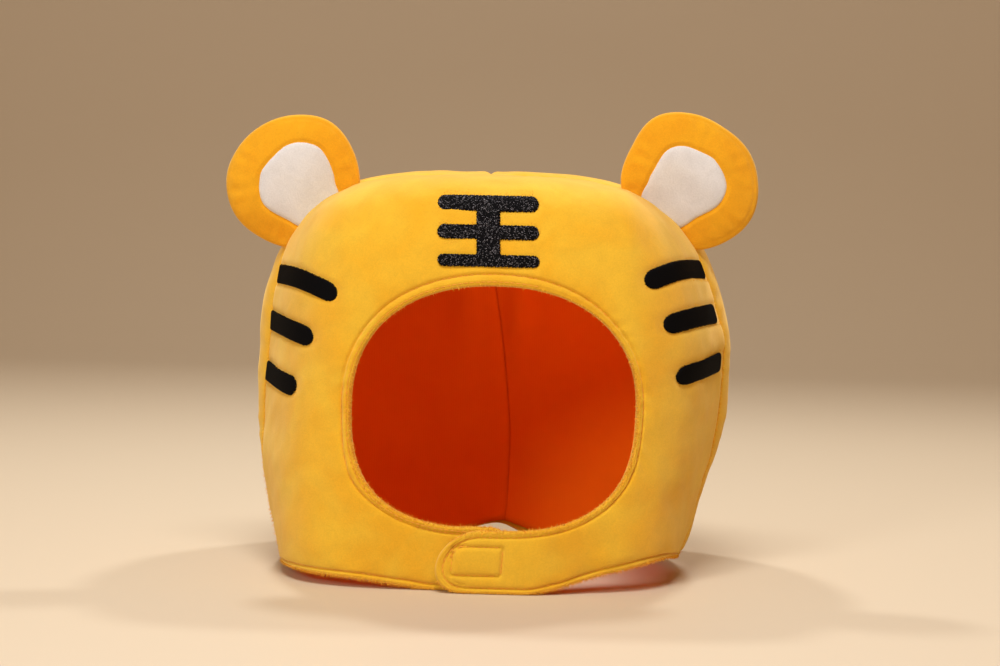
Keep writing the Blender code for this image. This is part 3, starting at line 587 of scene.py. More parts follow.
def front_surface(u, xi=None, end_gap=None):
    """Outer and inner grids of the front panel for columns u, its normals and how far
    its places lie from embroidery. xi is given on the tab's round end."""
    lines, at_hem = columns_of(u)
    total = run_of(lines)[:, -1:]
    w = rings_of(total[:, 0], FINE_EDGE, FINE_EDGE, 20)
    near = w
    far = total - w
    if xi is None:
        p = on_lines(lines, w)
    else:
        q = 2.0 * w / total - 1.0
        ahead = xi[:, None] * np.sqrt(1 - q * q / 2)
        up = q * np.sqrt(1 - xi[:, None] ** 2 / 2)
        w = (up + 1.0) / 2.0 * total
        p = tab_end(lines, w, ahead)
        near = far = (1.0 - np.hypot(ahead, up)) * TAB["radius"]
    if end_gap is not None:
        near = np.minimum(near, end_gap[:, None])
        far = np.minimum(far, end_gap[:, None])
    edge = np.minimum(near, far)
    n = panel_normals(p, lines, at_hem, np.maximum(total - w, 0.0))
    hem = at_hem[:, None]
    drop_near = turned_drop(near, opening_furrow(p)) + 0.6 * hump(near - 2.0, 0.42)
    drop_far = np.where(hem, turned_drop(far, HEM_FURROW, 1.3), seam_drop(far))
    in_far = np.where(hem, rounding(far, INNER_ROUND), 0.0)
    in_drop = np.maximum(rounding(near, INNER_ROUND), in_far)
    over = (u > LOOP / 2)[:, None]
    x = p[..., 0]
    low = p[..., 2] < 40.0
    sewn = embroidery_distance(p)
    relief = front_relief(p, edge, np.mod(u, LOOP)[:, None] * 8.0)
    relief = relief - 0.85 * smooth((3.2 - sewn) / 4.0) * smooth(edge / 2.0)
    chin = over & (x < 40.0) & low
    d = np.abs(box_distance(x, p[..., 2], BOX_STITCH))
    boxed = 1.15 * hump(d, 0.7) + 0.4 * hump(d, 2.2)
    relief = np.where(chin, relief * 0.5 - boxed * smooth(edge / 2.0), relief)
    rounded = chin & (x < -TAB["straight"])
    relief = np.where(rounded, relief - 0.7 * hump(edge - SECOND_FURROW, 0.6), relief)
    base = p + n * tab_shift(u[:, None], x, hem)[..., None]
    dip = 4.0 * smooth((x - 8.0) / 12.0) - 0.8 * smooth((x + 14.0) / 14.0)
    dip *= smooth(1.0 - w / total)
    base[..., 2] -= np.where(~over & (x > -40.0) & low & hem, dip, 0.0)
    outer = base - n * (np.maximum(drop_near, drop_far) - relief)[..., None]
    inner = base - n * (PAD - in_drop)[..., None]
    return outer, inner, n, sewn


def joined(name, verts, faces, finish):
    """A closed mesh object from points in the seam plane's measures."""
    mesh = bpy.data.meshes.new(name)
    mesh.from_pydata(in_frame(verts).tolist(), [], faces)
    shell = bmesh.new()
    shell.from_mesh(mesh)
    bmesh.ops.recalc_face_normals(shell, faces=shell.faces[:])
    shell.to_mesh(mesh)
    shell.free()
    mesh.shade_smooth()
    mesh.materials.append(finish)
    made = bpy.data.objects.new(name, mesh)
    scene.collection.objects.link(made)
    return made


def padded_shell(name, outer, inner, finish):
    """A closed padded panel between its outer and inner grids."""
    rows, cols = outer.shape[:2]
    grid = np.arange(rows * cols).reshape(rows, cols)
    quads = np.stack([grid[:-1, :-1], grid[:-1, 1:], grid[1:, 1:], grid[1:, :-1]], axis=-1)
    quads = quads.reshape(-1, 4)
    half = rows * cols
    rim = np.concatenate([grid[0], grid[1:, -1], grid[-1, -2::-1], grid[-2:0:-1, 0]])
    then = np.roll(rim, -1)
    sides = np.stack([then, rim, half + rim, half + then], axis=-1)
    faces = np.concatenate([quads, half + quads[:, ::-1], sides])
    verts = np.concatenate([outer.reshape(-1, 3), inner.reshape(-1, 3)])
    return joined(name, verts, faces.tolist(), finish)


# Gold velboa: knitted polyester with a 2 mm cut pile, heat set and brushed one way. The
# eye gets a soft glow at the edges, patches where the pile lies another way, and a grain
# of pile tips. The tips stand 0.4 mm apart and are drawn 0.8 mm apart, so that they show.
PLUSH_GOLD = {"face": "#E4B52A", "deep": "#E3AA1B", "glow": "#FFE8A4"}
# Each pattern: millimetres apart, detail, warp, its lowest and highest level, what it gives
NAP_PATTERNS = (
    (34.0, 3.0, 0.6, 0.38, 0.62, 0.0, 1.0),
    (9.0, 3.0, 0.8, 0.35, 0.65, 0.96, 1.02),
    (0.8, 2.0, 0.0, 0.3, 0.7, 0.94, 1.04),
)


def velboa(name, tones, sheen=0.6):
    made, tree, shader = finish_named(name)
    place = add(tree, "ShaderNodeTexCoord").outputs["Object"]
    heights = []
    levels = []
    for apart, detail, warp, lowest, highest, least, most in NAP_PATTERNS:
        pattern = add(
            tree, "ShaderNodeTexNoise",
            {"Scale": 1000.0 / apart, "Detail": detail, "Distortion": warp}, {"Vector": place},
        )
        level_of = add(
            tree, "ShaderNodeMapRange",
            {"From Min": lowest, "From Max": highest, "To Min": least, "To Max": most},
            {"Value": pattern.outputs["Fac"]},
        )
        heights.append(pattern.outputs["Fac"])
        levels.append(level_of.outputs["Result"])
    lay, smudge, speck = levels
    nap = add(
        tree, "ShaderNodeMix", {"A": linear(tones["deep"]), "B": linear(tones["face"])},
        {"Factor": lay}, data_type="RGBA",
    )
    mottle = add(tree, "ShaderNodeMath", None, {0: speck, 1: smudge}, operation="MULTIPLY")
    shade = add(
        tree, "ShaderNodeVectorMath", None,
        {0: nap.outputs["Result"], 1: mottle.outputs["Value"]}, operation="MULTIPLY",
    )
    low = add(
        tree, "ShaderNodeBump", {"Strength": 0.35, "Distance": 0.5 * MM}, {"Height": heights[1]}
    )
    fine = add(
        tree, "ShaderNodeBump", {"Strength": 0.3, "Distance": 0.3 * MM},
        {"Height": heights[2], "Normal": low.outputs["Normal"]},
    )
    plug(
        tree, shader,
        {
            "Roughness": 0.95, "Specular IOR Level": 0.15, "Sheen Weight": sheen,
            "Sheen Roughness": 0.6, "Sheen Tint": linear(tones["glow"]),
        },
        {"Base Color": shade.outputs["Vector"], "Normal": fine.outputs["Normal"]},
    )
    return made


# Columns: the hidden end of the left arm, the loop, the flat of the tab, its round end
arm_end = -UNDER["end"] / STRIDE[-1]
flat_end = LOOP + TAB["straight"] / STRIDE[1]
tab_root = LOOP - TAB["root"] / STRIDE[1]
end_steps = np.array((0.0, 0.4, 1.0, 1.9, 3.0, 4.2, 6.0, 8.0, 9.5))
loop_u = np.arange(arm_end + 9.5 / STRIDE[-1] + 0.08, tab_root, 1.0 / 9.0)
tab_u = np.linspace(tab_root, flat_end, 62)
parts = (
    front_surface(arm_end + end_steps / STRIDE[-1], end_gap=end_steps),
    front_surface(np.concatenate([loop_u, tab_u])),
    front_surface(np.full(26, flat_end), xi=np.sin(np.linspace(0.03, 0.5, 26) * math.pi)),
)
front_outer, front_inner, front_outward, front_sewn = (
    np.concatenate([part[k] for part in parts]) for k in range(4)
)
plush_gold = velboa("velboa_plush_gold", PLUSH_GOLD)
front_plush = padded_shell("front_plush", front_outer, front_inner, plush_gold)
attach(front_plush, "root")
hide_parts("front_panel")

# Back panels: two padded halves of the same gold plush, joined to the front at the side
# seams and to each other down the middle, turned and topstitched at the hem. The seams
# are sewn from inside, so they draw the plush into a narrow valley with small gathers.
BACK_COLUMNS = 44
BACK_ROWS = 96
CROWN_GAP = 0.8


def back_surface(side, rises, first, last, columns):
    """Points, normals and distances on one half of the back, by rows from the hem up."""
    arch = LINES[side][2]
    spine = seam_line((0.0, 1.0, 0.0), hem_line(90.0, 90.0, 2)[0])
    tall = run_of(arch)[-1]
    deep = run_of(spine)[-1]
    a = resample(arch, rises)
    b = resample(spine, rises * (deep - CROWN_GAP) / (tall - CROWN_GAP))
    t = np.linspace(0.0, 1.0, 50)[:, None]
    lines = drape(CENTRE + (a - CENTRE)[:, None] * (1 - t) + (b - CENTRE)[:, None] * t)
    pull = hem_line(180.0 if side < 0 else 0.0, 90.0, 50)
    pull = resample(pull, np.linspace(0.0, run_of(pull)[-1], 50))
    low = rises < 60.0
    up = np.array((0.0, 0.0, 1.0))
    flat = drape(pull + up * (rises[low] * 0.94)[:, None, None])
    keep = smooth((rises[low] - 9.5) / 50.0)[:, None, None]
    lines[low] = drape(flat * (1 - keep) + lines[low] * keep)
    lines[rises == 0.0] = pull
    total = run_of(lines)[:, -1]
    w = rings_of(total, first, last, columns)
    p = on_lines(lines, w)
    p[:, 0, 1] = SEAM_GAP
    p[..., 1] = np.maximum(p[..., 1], SEAM_GAP)
    p[:, -1, 0] = side * SEAM_GAP
    p[..., 0] = side * np.maximum(side * p[..., 0], SEAM_GAP)
    scale = np.minimum(total / 30.0, 1.0)[:, None]
    n = normal(p)
    n = turned(n, without(n, 1), w / scale)
    n = turned(n, without(n, 0), (total[:, None] - w) / scale)
    n = turned(n, without(n, 2), rises[:, None])
    return p, n, w / scale, (total[:, None] - w) / scale


BACK_EDGE = (0.0, 0.4, 0.9, 1.6, 2.5, 3.6, 5.0, 7.0, 9.5)
for side, word in ((-1, "left"), (1, "right")):
    tall = run_of(LINES[side][2])[-1]
    rises = np.concatenate([FINE_EDGE[:-1], np.linspace(9.5, tall - CROWN_GAP, BACK_ROWS)])
    p, n, at_side, at_middle = back_surface(side, rises, BACK_EDGE, BACK_EDGE, BACK_COLUMNS)
    up = rises[:, None]
    seams = np.minimum(at_side, at_middle)
    drop = np.maximum(seam_drop(seams), turned_drop(up, HEM_FURROW, 1.3))
    relief = 0.6 * field(p, 52.0, 21) + 0.3 * field(p, 21.0, 22)
    relief *= smooth(np.minimum(seams, up) / 9.0)
    strength = 0.45 + (0.7 * hump(p[..., 2] - 168.0, 24.0) if side > 0 else 0.0)
    relief += strength * gathered(up, at_side, 11.0, 23, middle=6.0) * smooth(at_side / 3.0)
    relief += 0.40 * gathered(up, at_middle, 10.0, 24) * smooth(at_middle / 3.0)
    relief -= 2.2 * hump(np.hypot(p[..., 0], p[..., 1] - 6.0), 7.0)
    outer = p - n * (drop - relief)[..., None]
    inner = p - n * (PAD - rounding(up, INNER_ROUND))[..., None]
    back = padded_shell("back_plush_" + word, outer, inner, plush_gold)
    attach(back, "root")
    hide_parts("back_panel_" + word)

# Lining: smooth orange warp knit in the same three panels, sewn in at the turned edges
# and the seams. It hangs a little loose behind the crown, where the seams gather it into
# soft folds. Light that goes round inside the hood turns it a deep glowing red.
LINING_DEPTH = 8.1
LINING_THICK = 1.0
LINING_INSET = 2.6
LAP_RISE = 1.15
LINING_EDGE = (0.0, 1.0, 3.0)
# The lining's middle seam wanders: height, how far it lies to the right
LINING_SEAM = np.array(((0.0, 12.0), (40.0, 12.0), (100.0, 5.0), (160.0, -2.0), (222.0, -4.0)))
KNIT_ORANGE = {"face": "#FC7804", "deep": "#F86E04"}
# The knit's wales stand 0.7 mm apart and are drawn 1.4 mm apart, as a faint ribbing
WALES_APART = 1.4

# Warp knit: fine even loops of dull yarn, so the eye sees a matt skin that is faintly ribbed
knit, tree, shader = finish_named("warp_knit_orange")
place = add(tree, "ShaderNodeTexCoord").outputs["Object"]
wales = add(
    tree, "ShaderNodeTexWave",
    {"Scale": 1000.0 / WALES_APART / 20.0 * 6.2832, "Distortion": 1.5, "Detail": 1.0},
    {"Vector": place}, wave_type="BANDS", bands_direction="X",
)
cloud = add(
    tree, "ShaderNodeTexNoise", {"Scale": 1000.0 / 26.0, "Detail": 2.0}, {"Vector": place}
)
tone = add(
    tree, "ShaderNodeMix", {"A": linear(KNIT_ORANGE["deep"]), "B": linear(KNIT_ORANGE["face"])},
    {"Factor": cloud.outputs["Fac"]}, data_type="RGBA",
)
ribs = add(
    tree, "ShaderNodeBump", {"Strength": 0.15, "Distance": 0.2 * MM},
    {"Height": wales.outputs["Fac"]},
)
plug(
    tree, shader, {"Roughness": 0.8, "Specular IOR Level": 0.1},
    {"Base Color": tone.outputs["Result"], "Normal": ribs.outputs["Normal"]},
)


def sheet_size(grid):
    """Flat width and length of a sheet: its widest row and its longest column."""
    points = in_frame(grid)
    return float(run_of(points)[:, -1].max()), float(run_of(points.swapaxes(0, 1))[:, -1].max())


for side, word in ((-1, "left"), (1, "right")):
    tall = run_of(LINES[side][2])[-1]
    rises = np.concatenate([[LINING_INSET, 6.0], np.linspace(9.5, tall - CROWN_GAP, 70)])
    p, n, at_side, at_middle = back_surface(side, rises, LINING_EDGE, LINING_EDGE, 40)
    hem_before = hem_height(p)
    aside = hermite(p[..., 2], LINING_SEAM[:, 0], LINING_SEAM[:, 1])
    p[..., 0] += aside * smooth(1.0 - np.abs(p[..., 0]) / 105.0)
    p[..., 2] += (hem_height(p) - hem_before) * smooth(1.0 - rises / 45.0)[:, None]
    p = drape(p)
    top = smooth((p[..., 2] - 88.0) / 62.0)
    fold = 3.4 * hump(p[..., 0] + 17.0 - 0.06 * (p[..., 2] - 200.0), 7.0) * top
    fold += 4.6 * hump(p[..., 0] - 12.0 - 0.10 * (p[..., 2] - 150.0), 6.5) * top
    fold += 0.8 * field(p, 44.0, 31)
    fold *= smooth(np.minimum(at_side, at_middle) / 6.0)
    fold = np.maximum(fold - 0.3, -0.6)
    if side < 0:
        fold -= LAP_RISE * smooth((3.0 - at_middle) / 3.0)
    outer = p - n * (LINING_DEPTH + fold)[..., None]
    if side < 0:
        lap = outer[:, -1:] + np.array(((1.5, 0.0, 0.0), (3.6, 0.0, 0.0)))
        outer = np.concatenate([outer, lap], axis=1)
        n = np.concatenate([n, n[:, -1:], n[:, -1:]], axis=1)
    inner = outer - n * LINING_THICK
    piece = padded_shell("lining_knit_back_" + word, outer, inner, knit)
    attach(piece, "root")
    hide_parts("lining_back_" + word)
    wide, long = sheet_size(outer)

u = np.concatenate([
    [arm_end + 3.0 / STRIDE[-1]],
    np.arange(arm_end + 12.0 / STRIDE[-1], LOOP - 30.0 / STRIDE[1] - 0.1, 0.25),
    [LOOP - 30.0 / STRIDE[1]],
])
lines, at_hem = columns_of(u)
total = run_of(lines)[:, -1]
w = np.linspace(LINING_INSET, total - np.where(at_hem, LINING_INSET, 0.0), 24, axis=-1)
p = on_lines(lines, w)
n = panel_normals(p, lines, at_hem, np.maximum(total[:, None] - w, 0.0))
p = p + n * tab_shift(u[:, None], p[..., 0], at_hem[:, None])[..., None]
outer = p - n * LINING_DEPTH
lining = padded_shell("lining_knit_front", outer, outer - n * LINING_THICK, knit)
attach(lining, "root")
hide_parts("lining_front")

# Ears: two rounds of amber plush sewn face to face, stuffed and sewn into the seam
# between front and back. The seam runs just behind the outline, and the front round is a
# wide border about a white velboa middle.
# side, centre across, centre height, lean from upright
EARS = (("left", -110.8, 215.3, -37.0), ("right", 112.4, 220.7, 38.0))
# Outline radii every 30 degrees from +X, anticlockwise seen from the front
EAR_RADII = {
    "left": (37.6, 38.6, 40.3, 38.0, 36.6, 36.6, 37.9, 38.2, 36.6, 36.9, 37.0, 37.2),
    "right": (37.8, 36.7, 35.6, 38.2, 41.4, 38.5, 39.1, 38.5, 37.5, 38.2, 38.3, 39.2),
}
# White middles: centre, and outline radii every 15 degrees from -X, anticlockwise
WHITE_CENTRE = {"left": (-107.9, 215.4), "right": (109.1, 218.8)}
WHITE_RADII = {
    "left": (
        21.4, 22.3, 23.1, 22.5, 21.8, 22.2, 24.6, 27.5, 30.0, 30.0, 27.0, 24.0,
        21.3, 21.1, 21.3, 22.3, 23.4, 23.1, 22.6, 21.8, 20.5, 19.7, 20.0, 21.0,
    ),
    "right": (
        21.4, 25.5, 28.5, 31.0, 30.0, 26.5, 22.6, 19.6, 19.0, 19.9, 21.4, 22.6,
        23.2, 22.6, 21.9, 21.7, 20.8, 20.8, 21.8, 22.3, 21.9, 20.3, 19.4, 19.9,
    ),
}
EAR_THICK = 15.0
EAR_BASE_THIN = 0.5
EAR_RINGS = 46
EAR_TURNS = 168
EAR_SUNK = 3.2
PLUSH_AMBER = {"face": "#E6A416", "deep": "#E19A10", "glow": "#FFDC80"}
VELBOA_WHITE = {"face": "#DADADC", "deep": "#D0CED0", "glow": "#FFFFFF"}


def round_reach(radii, turn):
    """Radius of a closed outline at an angle, smooth through its table."""
    radii = np.array(radii)
    many = len(radii)
    place = (turn / (2 * math.pi) * many) % many
    i = np.floor(place).astype(int)
    t = place - i
    before, here, after, beyond = (radii[(i + k) % many] for k in (-1, 0, 1, 2))
    a = (1 + 2 * t) * (1 - t) ** 2
    c = t * t * (3 - 2 * t)
    rise = t * (1 - t) ** 2 * (after - before) / 2
    return a * here + rise + c * after + t * t * (t - 1) * (beyond - here) / 2


def white_distance(side, x, z):
    """Distance past the white middle's outline, below 0 inside, for places on an ear."""
    cx, cz = WHITE_CENTRE[side]
    turn = np.arctan2(z - cz, x - cx) + math.pi
    return np.hypot(x - cx, z - cz) - round_reach(WHITE_RADII[side], turn)


def ear_half(side, tilt, across, up):
    """Half thickness of the stuffed ear at a place on its face."""
    rho = np.hypot(across, up) / round_reach(EAR_RADII[side], np.arctan2(up, across))
    rho = np.minimum(rho, 1.0)
    out = across * math.sin(math.radians(tilt)) + up * math.cos(math.radians(tilt))
    thin = EAR_BASE_THIN + (1 - EAR_BASE_THIN) * smooth((out + 28.0) / 37.0)
    return EAR_THICK / 2 * thin * np.sqrt(np.maximum(1 - rho ** 3.4, 0.0))


def sunk_to_seam(p):
    """Holds an ear's foot just under the hood's skin, where it is sewn into the seam."""
    skin = drape(p)
    depth = np.linalg.norm(skin - CENTRE, axis=-1) - np.linalg.norm(p - CENTRE, axis=-1)
    deep = skin - unit(skin - CENTRE) * EAR_SUNK
    return np.where((depth > EAR_SUNK)[..., None], deep, p)


def round_shell(name, front, rear, centre, finish):
    """A closed shell of rings, from the front's middle to the rim and back behind it."""
    rings = np.concatenate([front, rear[::-1]])
    many, turns = rings.shape[:2]
    tips = [(centre[0], ring[:, 1].mean(), centre[1]) for ring in (rings[0], rings[-1])]
    verts = np.concatenate([tips[:1], rings.reshape(-1, 3), tips[1:]])
    here = np.arange(turns)
    then = np.roll(here, -1)
    last = 1 + turns * many
    faces = [(0, 1 + j, 1 + i) for i, j in zip(here, then)]
    for a in range(1, last - turns, turns):
        b = a + turns
        faces += np.stack([a + here, a + then, b + then, b + here], axis=-1).tolist()
    faces += [(last, last - turns + i, last - turns + j) for i, j in zip(here, then)]
    return joined(name, sunk_to_seam(verts), faces, finish)


# Amber velboa: the same cloth dyed deeper, which gives the same soft glow and grain
plush_amber = velboa("velboa_plush_amber", PLUSH_AMBER)
# White velboa: the same cloth undyed, with a flatter pile, so the eye sees a chalky matt
velboa_white = velboa("velboa_white_matte", VELBOA_WHITE, sheen=0.2)
for side, x, z, tilt in EARS:
    turn = np.linspace(0.0, 2 * math.pi, EAR_TURNS, endpoint=False)
    rho = np.linspace(0.0, 1.0, EAR_RINGS + 1)[1:] ** 0.7
    reach = round_reach(EAR_RADII[side], turn)
    across = np.outer(rho, reach * np.cos(turn))
    up = np.outer(rho, reach * np.sin(turn))
    half = ear_half(side, tilt, across, up)
    flat = np.stack([across, 0.0 * across, up], axis=-1)
    rim = np.outer(1.0 - rho, reach)
    gather = gathered(turn[None, :] * 38.0, rim, 8.0, 41)
    swell = (0.5 * field(flat, 24.0, 42) + 0.35 * gather) * smooth(rim / 6.0)
    d = white_distance(side, across + x, up + z)
    front_half = half + swell - 0.9 * smooth((0.8 - d) / 1.6) - 0.7 * hump(d - 0.6, 0.9)
    upper_right = smooth(0.5 + 0.5 * np.cos(turn - math.radians(25.0)))
    front_half -= 0.45 * hump(rim - 2.6, 0.8) * smooth(half / 3.0) * upper_right
    front = np.stack([across + x, -front_half, up + z], axis=-1)
    rear = np.stack([across + x, half + swell * 0.8, up + z], axis=-1)
    front[-1, :, 1] = 0.0
    ear = round_shell("ear_plush_" + side, front, rear[:-1], (x, z), plush_amber)
    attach(ear, "root")
    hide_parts("ear_" + side)

    # White middle: matte white velboa let into the border with a close seam
    cx, cz = WHITE_CENTRE[side]
    reach = round_reach(WHITE_RADII[side], turn + math.pi)
    rho = np.linspace(0.0, 1.0, 26)[1:] ** 0.8
    wx = cx + np.outer(rho, reach * np.cos(turn))
    wz = cz + np.outer(rho, reach * np.sin(turn))
    half = ear_half(side, tilt, wx - x, wz - z)
    flat = np.stack([wx - x, 0.0 * wx, wz - z], axis=-1)
    inset = np.outer(1.0 - rho, reach)
    top = half + 0.5 * field(flat, 24.0, 42) + 0.15 - 1.0 * np.exp(-inset / 1.1)
    front = np.stack([wx, -top, wz], axis=-1)
    rear = front + np.array((0.0, 1.0, 0.0))
    front[-1] += np.array((0.0, 0.3, 0.0))
    white = round_shell("ear_white_" + side, front, rear, (cx, cz), velboa_white)
    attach(white, "root")
    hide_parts("ear_inner_" + side)

# Cheek stripes and brow mark: black rayon embroidery, sewn in close rows through the
# plush. It lies flat and a little proud, its edges are ragged by single stitches, and
# the brow mark's thread carries fine metallic glitter, whose glints are painted grey.
THREAD_BLACK = "#070709"
# Painted glint: the grey that the glitter flakes show in the base colour
FLAKE_GLINT_GREY = "#7C7A80"
STITCH_ROW = 0.45
EMBROIDERY_RISE = 0.75
EMBROIDERY_SUNK = 1.1
CHART_STEP = 0.3
CHART_RIM = 0.6


def embroidered(name, spots, a, b, d, finish):
    """A closed low pad over the places a, b of a chart whose distance d is below 0.

    spots gives the skin's points and normals for places on the chart.
    """
    ragged = d + 0.34 * np.sin(a * 2 * math.pi / 1.4) * np.sin(b * 2 * math.pi / 1.6 + a)
    keep = ragged < 0.0
    quads = keep[:-1, :-1] & keep[1:, :-1] & keep[1:, 1:] & keep[:-1, 1:]
    used = np.zeros(a.shape, bool)
    for i, j in ((0, 0), (1, 0), (1, 1), (0, 1)):
        used[i:used.shape[0] - 1 + i, j:used.shape[1] - 1 + j] |= quads
    many = int(used.sum())
    number = np.full(a.shape, -1)
    number[used] = np.arange(many)
    skin, n = spots(a[used], b[used])
    inside = np.maximum(-d[used], 0.0)
    rows = np.sin(b[used] * math.pi / STITCH_ROW)
    height = EMBROIDERY_RISE * (1 - np.exp(-inside / 0.55)) - 0.35 + 0.06 * rows
    verts = np.concatenate([skin + n * height[:, None], skin - n * EMBROIDERY_SUNK])
    cells = (number[:-1, :-1], number[1:, :-1], number[1:, 1:], number[:-1, 1:])
    faces = np.stack(cells, axis=-1)[quads]
    edges = np.concatenate([np.roll(faces, -k, axis=1)[:, :2] for k in range(4)])
    key = edges[:, 0] * many + edges[:, 1]
    back_key = edges[:, 1] * many + edges[:, 0]
    start, end = edges[~np.isin(key, back_key)].T
    walls = np.stack([end, start, many + start, many + end], axis=-1)
    faces = np.concatenate([faces, many + faces[:, ::-1], walls])
    return joined(name, verts, faces.tolist(), finish)


def rayon(name, glitter):
    """Rayon thread has a dull sheen along its rows; glitter adds sharp grey points of painted
    glint.
    """
    made, tree, shader = finish_named(name)
    place = add(tree, "ShaderNodeTexCoord").outputs["Object"]
    rows = add(
        tree, "ShaderNodeTexNoise", {"Scale": 1000.0 / 0.8, "Detail": 2.0}, {"Vector": place}
    )
    ridge = add(
        tree, "ShaderNodeBump", {"Strength": 0.6, "Distance": 0.25 * MM},
        {"Height": rows.outputs["Fac"]},
    )
    plug(
        tree, shader,
        {"Roughness": 0.75, "Specular IOR Level": 0.06, "Base Color": linear(THREAD_BLACK)},
        {"Normal": ridge.outputs["Normal"]},
    )
    if glitter:
        # Flakes are 0.2 mm wide and are drawn 0.4 mm wide, so that they show. Their grey
        # in the base colour is painted glint, not the flakes' own colour.
        flakes = add(tree, "ShaderNodeTexVoronoi", {"Scale": 1000.0 / 0.38}, {"Vector": place})
        pick = add(tree, "ShaderNodeSeparateColor", None, {"Color": flakes.outputs["Color"]})
        flake_glint = add(
            tree, "ShaderNodeMapRange", {"From Min": 0.86, "From Max": 1.0},
            {"Value": pick.outputs["Red"]},
        )
        tone = add(
            tree, "ShaderNodeMix", {"A": linear(THREAD_BLACK), "B": linear(FLAKE_GLINT_GREY)},
            {"Factor": flake_glint.outputs["Result"]}, data_type="RGBA",
        )
        plug(tree, shader, None, {"Base Color": tone.outputs["Result"]})
    return made


rayon_black = rayon("rayon_thread_black", False)
rayon_glitter = rayon("rayon_thread_glitter", True)

for name, end_x, end_z, seam_z, gap in STRIPES:
    line = stripe_line(end_x, end_z, seam_z)
    total = run_of(line)[-1]
    a, b = np.meshgrid(
        np.arange(gap - CHART_RIM, total + CHART_RIM, CHART_STEP),
        np.arange(-STRIPE_HALF - CHART_RIM, STRIPE_HALF + CHART_RIM + 0.1, CHART_STEP),
        indexing="ij",
    )
    past = np.maximum(a - total + STRIPE_CAP, 0.0) * STRIPE_HALF / STRIPE_CAP
    corner = STRIPE_CORNERS[1 if end_x > 0 else -1]
    short = np.maximum(gap + corner - a, 0.0)
    beside = np.maximum(np.abs(b) - STRIPE_HALF + corner, 0.0)
    d = np.maximum(np.hypot(past, b) - STRIPE_HALF, np.hypot(short, beside) - corner)

    def on_stripe(s, across, line=line, total=total):
        p = resample(line, s)
        ahead = resample(line, np.minimum(s + 1.0, total))
        sideways = unit(np.cross(normal(p), ahead - resample(line, np.maximum(s - 1.0, 0.0))))
        p = drape(p + sideways * across[:, None])
        return p, normal(p)

    stripe = embroidered(name + "_thread", on_stripe, a, b, d, rayon_black)
    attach(stripe, "root")
    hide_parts(name)

a, b = np.meshgrid(
    np.arange(-28.5, 30.6, CHART_STEP), np.arange(171.5, 212.6, CHART_STEP), indexing="ij"
)


def on_brow(x, z):
    p = front_point(x, z)
    return p, normal(p)


brow = embroidered("brow_mark_thread", on_brow, a, b, brow_distance(a, b), rayon_glitter)
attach(brow, "root")
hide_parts("brow_mark")

# Topstitching: one row of gold polyester thread, 3 mm stitches sunk in a furrow, round
# the face opening, the hem and the tab, and a stitched rectangle that holds the hook tape
# under the tab. A second seam shows at the rim, where the turned facing meets the plush.
THREAD_GOLD = "#F0A420"
STITCH_LONG = 2.6
STITCH_PITCH = 3.1
THREAD_WIDE = 0.38

# How deep the thread lies under the skin, before an edge or the tab is reckoned with
THREAD_DEPTH = {"opening": 1.45, "rim": 0.25, "hem": 1.35, "tab": 1.3, "box": 1.1}
# Half thickness along a stitch, as a share of the thread's
STITCH_SWELL = (0.55, 0.95, 1.0, 0.95, 0.55)
STITCH_SIDES = 6

# Polyester thread: twisted filament, so each stitch has a small sheen on its round
thread_gold, tree, shader = finish_named("polyester_thread_gold")
place = add(tree, "ShaderNodeTexCoord").outputs["Object"]
twist = add(tree, "ShaderNodeTexNoise", {"Scale": 1000.0 / 0.5}, {"Vector": place})
strand = add(
    tree, "ShaderNodeBump", {"Strength": 0.5, "Distance": 0.1 * MM},
    {"Height": twist.outputs["Fac"]},
)
plug(
    tree, shader,
    {"Base Color": linear(THREAD_GOLD), "Roughness": 0.5, "Sheen Weight": 0.2},
    {"Normal": strand.outputs["Normal"]},
)


def stitches(path, n):
    """Rings of points round each stitch of a row along a path in millimetres."""
    run = run_of(path)
    t = np.linspace(0.0, 1.0, len(STITCH_SWELL))
    places = np.arange(0.4, run[-1] - STITCH_LONG, STITCH_PITCH)
    s = places[:, None] + t * STITCH_LONG
    mid, up = (
        np.stack([np.interp(s, run, rows[:, k]) for k in range(3)], axis=-1)
        for rows in (path, n)
    )
    up = unit(up)
    side = unit(np.cross(up, unit(np.gradient(mid, axis=1))))
    mid = mid + up * (0.22 * np.sin(t * math.pi) - 0.10)[:, None]
    turn = np.linspace(0.0, 2 * math.pi, STITCH_SIDES, endpoint=False)[:, None]
    round_it = side[:, :, None] * np.cos(turn) + up[:, :, None] * np.sin(turn)
    thick = THREAD_WIDE / 2 * np.array(STITCH_SWELL)
    return mid[:, :, None] + thick[:, None, None] * round_it


def front_path(u, inset, from_rim):
    """Path on the front panel at an inset from its opening or from its hem."""
    lines, at_hem = columns_of(u)
    total = run_of(lines)[:, -1]
    if callable(inset):
        inset = inset(on_lines(lines, np.full((len(u), 1), 5.0))[:, 0])
    w = inset + 0.0 * total if from_rim else total - inset
    p = on_lines(lines, w[:, None])[:, 0]
    n = normal(p)
    if not from_rim:
        n = turned(n, without(n, 2), total - w)
    return p + n * tab_shift(u, p[:, 0], at_hem)[:, None], n


